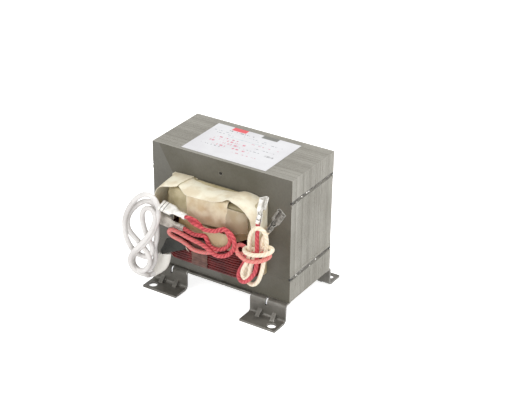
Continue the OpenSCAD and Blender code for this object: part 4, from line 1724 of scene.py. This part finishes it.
@dataclass
class Boot:
    """The soft white boot over the high-voltage lead's connector, a flat sleeve that flares.

    Each edge is a direction across it, in X and Z, and half its width there. Each fold of its
    mouth is a share of the last ring and how far it is tucked back.
    """

    centres: Row = (
        (-43.3, -40.6, 12.0), (-41.6, -40.2, 14.4), (-39.6, -39.8, 17.4), (-37.8, -39.4, 20.8),
        (-36.4, -39.2, 24.4), (-35.2, -39.2, 28.0), (-34.6, -39.4, 30.0))
    edges: Sequence[tuple[float, float, float]] = (
        (-0.8, 0.6, 1.9), (-0.8, 0.6, 2.6), (-0.8, 0.55, 3.6), (-0.82, 0.45, 4.6), (-0.9, 0.2, 5.0),
        (-0.97, -0.1, 5.0), (-0.96, -0.2, 4.9))
    thickness: Sequence[float] = (1.5, 1.9, 2.1, 2.0, 1.7, 1.4, 1.2)
    mouth: Sequence[tuple[float, float]] = ((0.88, 0.0), (0.84, 1.5), (0.7, 6.0))
    mouth_way: Point = (0.3, 0, 1.0)
    ripple: float = 0.05
    ripple_creep: float = 0.12
    fullness: float = 0.8
    lean: float = 0.1
    sides: int = 36

    def build(self) -> bpy.types.Object:
        """Lofts the boot along its centres and tucks in its mouth.

        Returns:
            The boot.
        """
        centres, edges, thick = (
            fair(np.array(row, float), 40) for row in (self.centres, self.edges, self.thickness))
        turn = ring_angles(self.sides)
        rings = []
        for k, centre in enumerate(centres):
            across = np.array((edges[k, 0], 0, edges[k, 1]))
            across /= np.linalg.norm(across)
            fold = 1 + self.ripple * np.cos(3 * turn + k * self.ripple_creep)
            y = np.sign(np.sin(turn)) * np.abs(np.sin(turn)) ** self.fullness * thick[k]
            rings.append(centre + across * (np.cos(turn) * edges[k, 2] * fold)[:, None]
                         + y[:, None] * (self.lean, 1.0, 0))
        rim = rings[-1] - centres[-1]
        for inward, back in self.mouth:
            rings.append(centres[-1] + rim * inward - np.array(self.mouth_way) * back)
        grid = np.array(rings) * MM
        draft = Draft()
        faces = draft.mesh_of(len(grid), self.sides, False, True)
        draft.add(grid, faces + draft.caps(len(grid), self.sides))
        return draft.piece("hv_boot_sleeve", BOOT_PLASTIC, "white_boot", ["hv_lead_boot"])


@dataclass
class Leads:
    """All the free leads, each with what is crimped on its end."""

    hv_route: Row = (
        (-30, -40.5, 64), (-32, -41.8, 65.1), (-33.5, -42.8, 66), (-36, -44.2, 64.7),
        (-37, -45, 60.8), (-36, -45.4, 53.3), (-36.2, -45.4, 44.4), (-38.1, -45.4, 36.1),
        (-37.7, -45.4, 28.7), (-40.4, -45.4, 21.4), (-45.7, -45.6, 16.4), (-51.7, -45.8, 15.3),
        (-55.5, -46, 18.7), (-55.2, -46.2, 24.3), (-51, -46.5, 30.6), (-45.3, -46.8, 37.2),
        (-40.1, -47, 44.7), (-36.3, -47.2, 52.6), (-33.8, -47.6, 60.8), (-33.5, -48, 66.4),
        (-36.7, -48.4, 70.2), (-41.6, -48.6, 70.5), (-46.3, -48.8, 67.7), (-51.5, -49, 62.7),
        (-55.6, -49.2, 56.1), (-56.8, -49.3, 49.9), (-55.3, -49.3, 45.2), (-51.4, -49.3, 41.6),
        (-47, -49.4, 38.5), (-42.6, -49.5, 34.7), (-39.5, -49.6, 30.1), (-39.6, -49.7, 24.9),
        (-43.6, -49.9, 19.5), (-49.6, -50.2, 18.1), (-53.5, -50.5, 21.2), (-53, -50.8, 26.8),
        (-49.1, -51, 32.8), (-43.1, -51.3, 39.1), (-37.5, -51.5, 46.5), (-33.2, -51.7, 54.5),
        (-30.2, -51.9, 62.7), (-29.5, -52, 70.1), (-31.9, -52.1, 75.5), (-36, -52.2, 77.7),
        (-41.1, -52.2, 76.7), (-46.4, -52.2, 72.7), (-51.4, -52.2, 66), (-55.3, -52.2, 58.3),
        (-56.9, -52.2, 51.2), (-56.7, -52, 44.2), (-55.1, -51.5, 38.1), (-53, -50, 32.8),
        (-49.3, -48.4, 29.1), (-44.2, -47.6, 28.4), (-39.4, -47.6, 31.8), (-38.1, -48, 37.6),
        (-39.9, -49, 43.1), (-41.7, -50.2, 49), (-42.6, -51.4, 55.9), (-42.1, -52.3, 63),
        (-38.6, -52.8, 68), (-34.1, -53, 68.7), (-31.5, -53.1, 65), (-32.2, -53.1, 59),
        (-35.1, -53.1, 52.3), (-39.7, -53, 45.1), (-45.4, -52.8, 38), (-50.7, -52.5, 31.6),
        (-53.5, -52.2, 25.4), (-52.3, -51.6, 19.8), (-48.1, -50.6, 16.8), (-44.3, -48.6, 15.5),
        (-44.6, -44.6, 12.6), (-42.9, -42.2, 13.3), (-41, -40, 15))
    filament_a_route: Row = (
        (12, -32, 60), (12, -37, 58.5), (12, -43.5, 55), (11.3, -45.6, 51), (8.5, -45.6, 47.5),
        (3.5, -45.8, 45.5), (-2, -45.8, 44.5), (-7.5, -45.8, 44.5), (-12, -45.8, 46.5),
        (-17, -46.2, 48.5), (-22, -47, 50), (-24.3, -48.4, 53), (-21.5, -49.8, 56.5),
        (-16, -50.8, 57), (-10, -51.4, 56.3), (-3, -51.8, 55.3), (5.5, -52, 53.8),
        (13.2, -52.2, 50.2), (17.8, -52.3, 50.6), (22.5, -52.4, 52.7), (26.2, -52.4, 56.4),
        (28, -52.4, 61.1), (27.7, -52.4, 65.4), (25.5, -52.4, 68.6), (22.1, -52.4, 70.2),
        (17.9, -52.4, 69.5), (13.6, -52.3, 67), (5.8, -52.1, 65.6), (3.5, -52, 66.3),
        (-1, -51.4, 67.8), (-5.2, -50.7, 68.6), (-9.5, -50, 69))
    filament_b_route: Row = (
        (17, -32, 60), (17, -36, 60), (16.5, -40, 60), (15, -44, 59), (14, -46.4, 60.4),
        (14.1, -46.5, 63.4), (15.4, -47, 66.2), (18.6, -48, 67.8), (21.2, -49.1, 65.8),
        (22.8, -49.3, 63.3), (22.8, -49.5, 60), (20.7, -49.6, 56.5), (16.7, -49.7, 53.9),
        (12.1, -49.6, 52.5), (8.2, -49.4, 53.2), (6.3, -49.2, 55), (5.1, -49, 57.4),
        (3.4, -48.7, 58.9), (0.5, -48.5, 58.3), (-4.5, -47.9, 57), (-9.5, -47.2, 57.2),
        (-14, -46.5, 58))
    primary_a_route: Row = (
        (24.5, -43.5, 50), (27, -44.3, 51.5), (29.8, -44, 52.5), (34, -43.8, 54),
        (39, -43.6, 55.5), (44, -44, 57), (48.4, -45.6, 58.6), (51, -47.8, 59.6),
        (51.8, -50.2, 59.5), (50.4, -52, 58.4), (47.2, -53, 56.7), (42.9, -53.4, 55.1),
        (37, -53.2, 54.2), (32.2, -52.5, 55.6), (28.6, -51, 57.4), (27.4, -49.3, 59),
        (28.9, -47.6, 60.2), (31.6, -46.6, 59.2), (33.1, -46.4, 55.4), (32.8, -46.6, 50.8),
        (31.2, -47.2, 46.4), (29.4, -48.2, 42.4), (29.2, -49.4, 39.2), (31.4, -50.8, 37),
        (34.8, -51.9, 37.4), (38.1, -52.4, 39.8), (40.9, -52.3, 43.2), (42.7, -51.6, 46.8),
        (43.1, -50.6, 50.8), (42.7, -49.6, 55.4), (42.5, -49.2, 61.9), (42.4, -49.1, 68),
        (42.4, -48.9, 74), (42.5, -48.4, 80))
    primary_b_route: Row = (
        (28.4, -41, 45), (30.8, -43, 45.2), (31.8, -44.2, 43.8), (32.2, -45.8, 41.2),
        (34, -47.8, 37.2), (36.8, -48.6, 35.5), (39.7, -49.2, 35.6), (42.5, -49.5, 37.8),
        (44.5, -49.7, 41.3), (46, -49.6, 46.3), (46.8, -49.2, 50.7), (47.2, -48.8, 55.6),
        (48.2, -48.6, 60.7), (49.1, -49, 66.1), (49.5, -49.8, 71.1), (49, -50.7, 75.5),
        (47.3, -51.5, 78), (44.6, -51.8, 78.3), (41.5, -51.5, 76.3), (39, -50.9, 72.3),
        (37.6, -50.1, 67.3), (37, -49.3, 62.1), (36.7, -49, 57.3), (36.2, -49.4, 53),
        (35.3, -50.3, 49.6), (33.7, -50.8, 46.1), (33.1, -51.1, 42.9), (34, -51.3, 40.2),
        (36, -51.3, 39.6), (38, -51.2, 41.8), (38.7, -51, 45.1), (38.7, -50.5, 48),
        (38.8, -49.6, 50.4), (39.8, -48.2, 54.3), (41.4, -46.8, 58.4), (44.3, -46.3, 61.8),
        (48.1, -46.7, 63.8), (51.3, -47.8, 64.9), (54.2, -50, 65.5), (54.3, -52.1, 64.8),
        (51.2, -53.3, 62.8), (47.1, -53.6, 61.1), (42.8, -53.6, 59.8), (38.7, -53.1, 59.2),
        (35.2, -51.8, 59.1), (33.5, -49.6, 59.6), (34.2, -47.6, 59.6), (37.1, -46.4, 58.9),
        (41, -46.2, 59.7), (43.9, -46.6, 62.9), (45, -47.2, 66.9), (45.6, -46.8, 69.5),
        (47.8, -46, 73.6), (48.7, -46.3, 75.2))

    def build(self) -> None:
        """Builds the five leads, their four terminals and the boot."""
        hv, fil_a, fil_b = self.hv_route, self.filament_a_route, self.filament_b_route
        pri_a, pri_b = self.primary_a_route, self.primary_b_route
        terminals = [terminal.build() for terminal in (
            PushOnTerminal("filament_a", fil_a[-1], 189, -20, creases=(15.2, 17.5)),
            PushOnTerminal("filament_b", fil_b[-1], 186, -90, TINNED_SHADED),
            PushOnTerminal("primary_a", pri_a[-1], -77, 160, TINNED, 18.2, 0.8),
            PushOnTerminal("primary_b", pri_b[-1], -59, 78, TINNED_HOLLOW_SHADED, 17.4, 0.8))]
        leads = (
            Lead("hv_lead", hv, 3.5, SILICONE, "white_silicone",
                 ["hv_lead_exit", "hv_lead_hank"], Cover.SMOOTH),
            Lead("filament_lead_a", fil_a, 2.8, RED_BRAID, "red_braid",
                 ["filament_lead_a_run", "filament_lead_a_tail", "filament_lead_hank"],
                 doubled=16, fade=((0, 0.2), (0.12, 0.7), (0.34, 0.9), (0.42, 0.5), (0.55, 0.15),
                                   (0.7, 0), (1, 0))),
            Lead("filament_lead_b", fil_b, 2.8, RED_BRAID, "red_braid",
                 ["filament_lead_b_exit", "filament_lead_b_tail", "filament_lead_hank"],
                 fade=((0, 0.1), (0.8, 0), (1, 0.15))),
            Lead("primary_lead_a", pri_a, 2.7, PINK_BRAID, "pink_braid",
                 ["primary_lead_a_exit", "primary_lead_a_tail", "primary_lead_hank"],
                 relief=0.05, fade=((0, 0.8), (0.36, 0.9), (0.42, 0.6), (0.5, 0.1), (1, 0))),
            Lead("primary_lead_b", pri_b, 2.7, CREAM_SLEEVE, "cream_sleeve",
                 ["primary_lead_b_exit", "primary_lead_b_tail", "primary_lead_hank"],
                 relief=0.015))
        for lead, end in zip(leads, [Boot().build(), *terminals]):
            lead.build(end)


@dataclass
class PlainParts:
    """The solids of the CAD model that show as they are: feet, label, liners and shunts."""

    finishes: Sequence[tuple[str, Finish]] = (
        ("mounting", STRIP_STEEL), ("label", LABEL), ("window", PAPER), ("magnetic", SHUNT_STEEL))
    rounding: float = 0.3
    round_from: float = 32

    def dress(self) -> None:
        """Gives every node that still shows its finish, and the feet rounded edges."""
        for name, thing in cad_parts.items():
            if thing.hide_render:
                continue
            finish = next((made for start, made in self.finishes if name.startswith(start)),
                          CORE_STEEL)
            thing.data.materials.clear()
            thing.data.materials.append(finish.material())
            if finish is STRIP_STEEL:
                self.soften(thing)
            log.info("%s: dressed as %s", name, finish.name)

    def soften(self, thing: bpy.types.Object) -> None:
        """Rounds the sharp edges of a node.

        Args:
            thing: The node's object.
        """
        bevel = thing.modifiers.new("rounded_edges", "BEVEL")
        bevel.width, bevel.segments = self.rounding * MM, 2
        bevel.limit_method, bevel.angle_limit = "ANGLE", math.radians(self.round_from)
        bevel.harden_normals = True


def main() -> None:
    """Builds the studio, the leads, the core, the windings and the covers in order."""
    logging.basicConfig(level=logging.INFO, format="%(message)s")
    Studio().build()
    Leads().build()
    Core().build()
    PrimaryWinding().build()
    SecondaryWinding().build()
    FilamentWinding().build()
    PaperCover().build()
    PlainParts().dress()


if __name__ == "__main__":
    main()
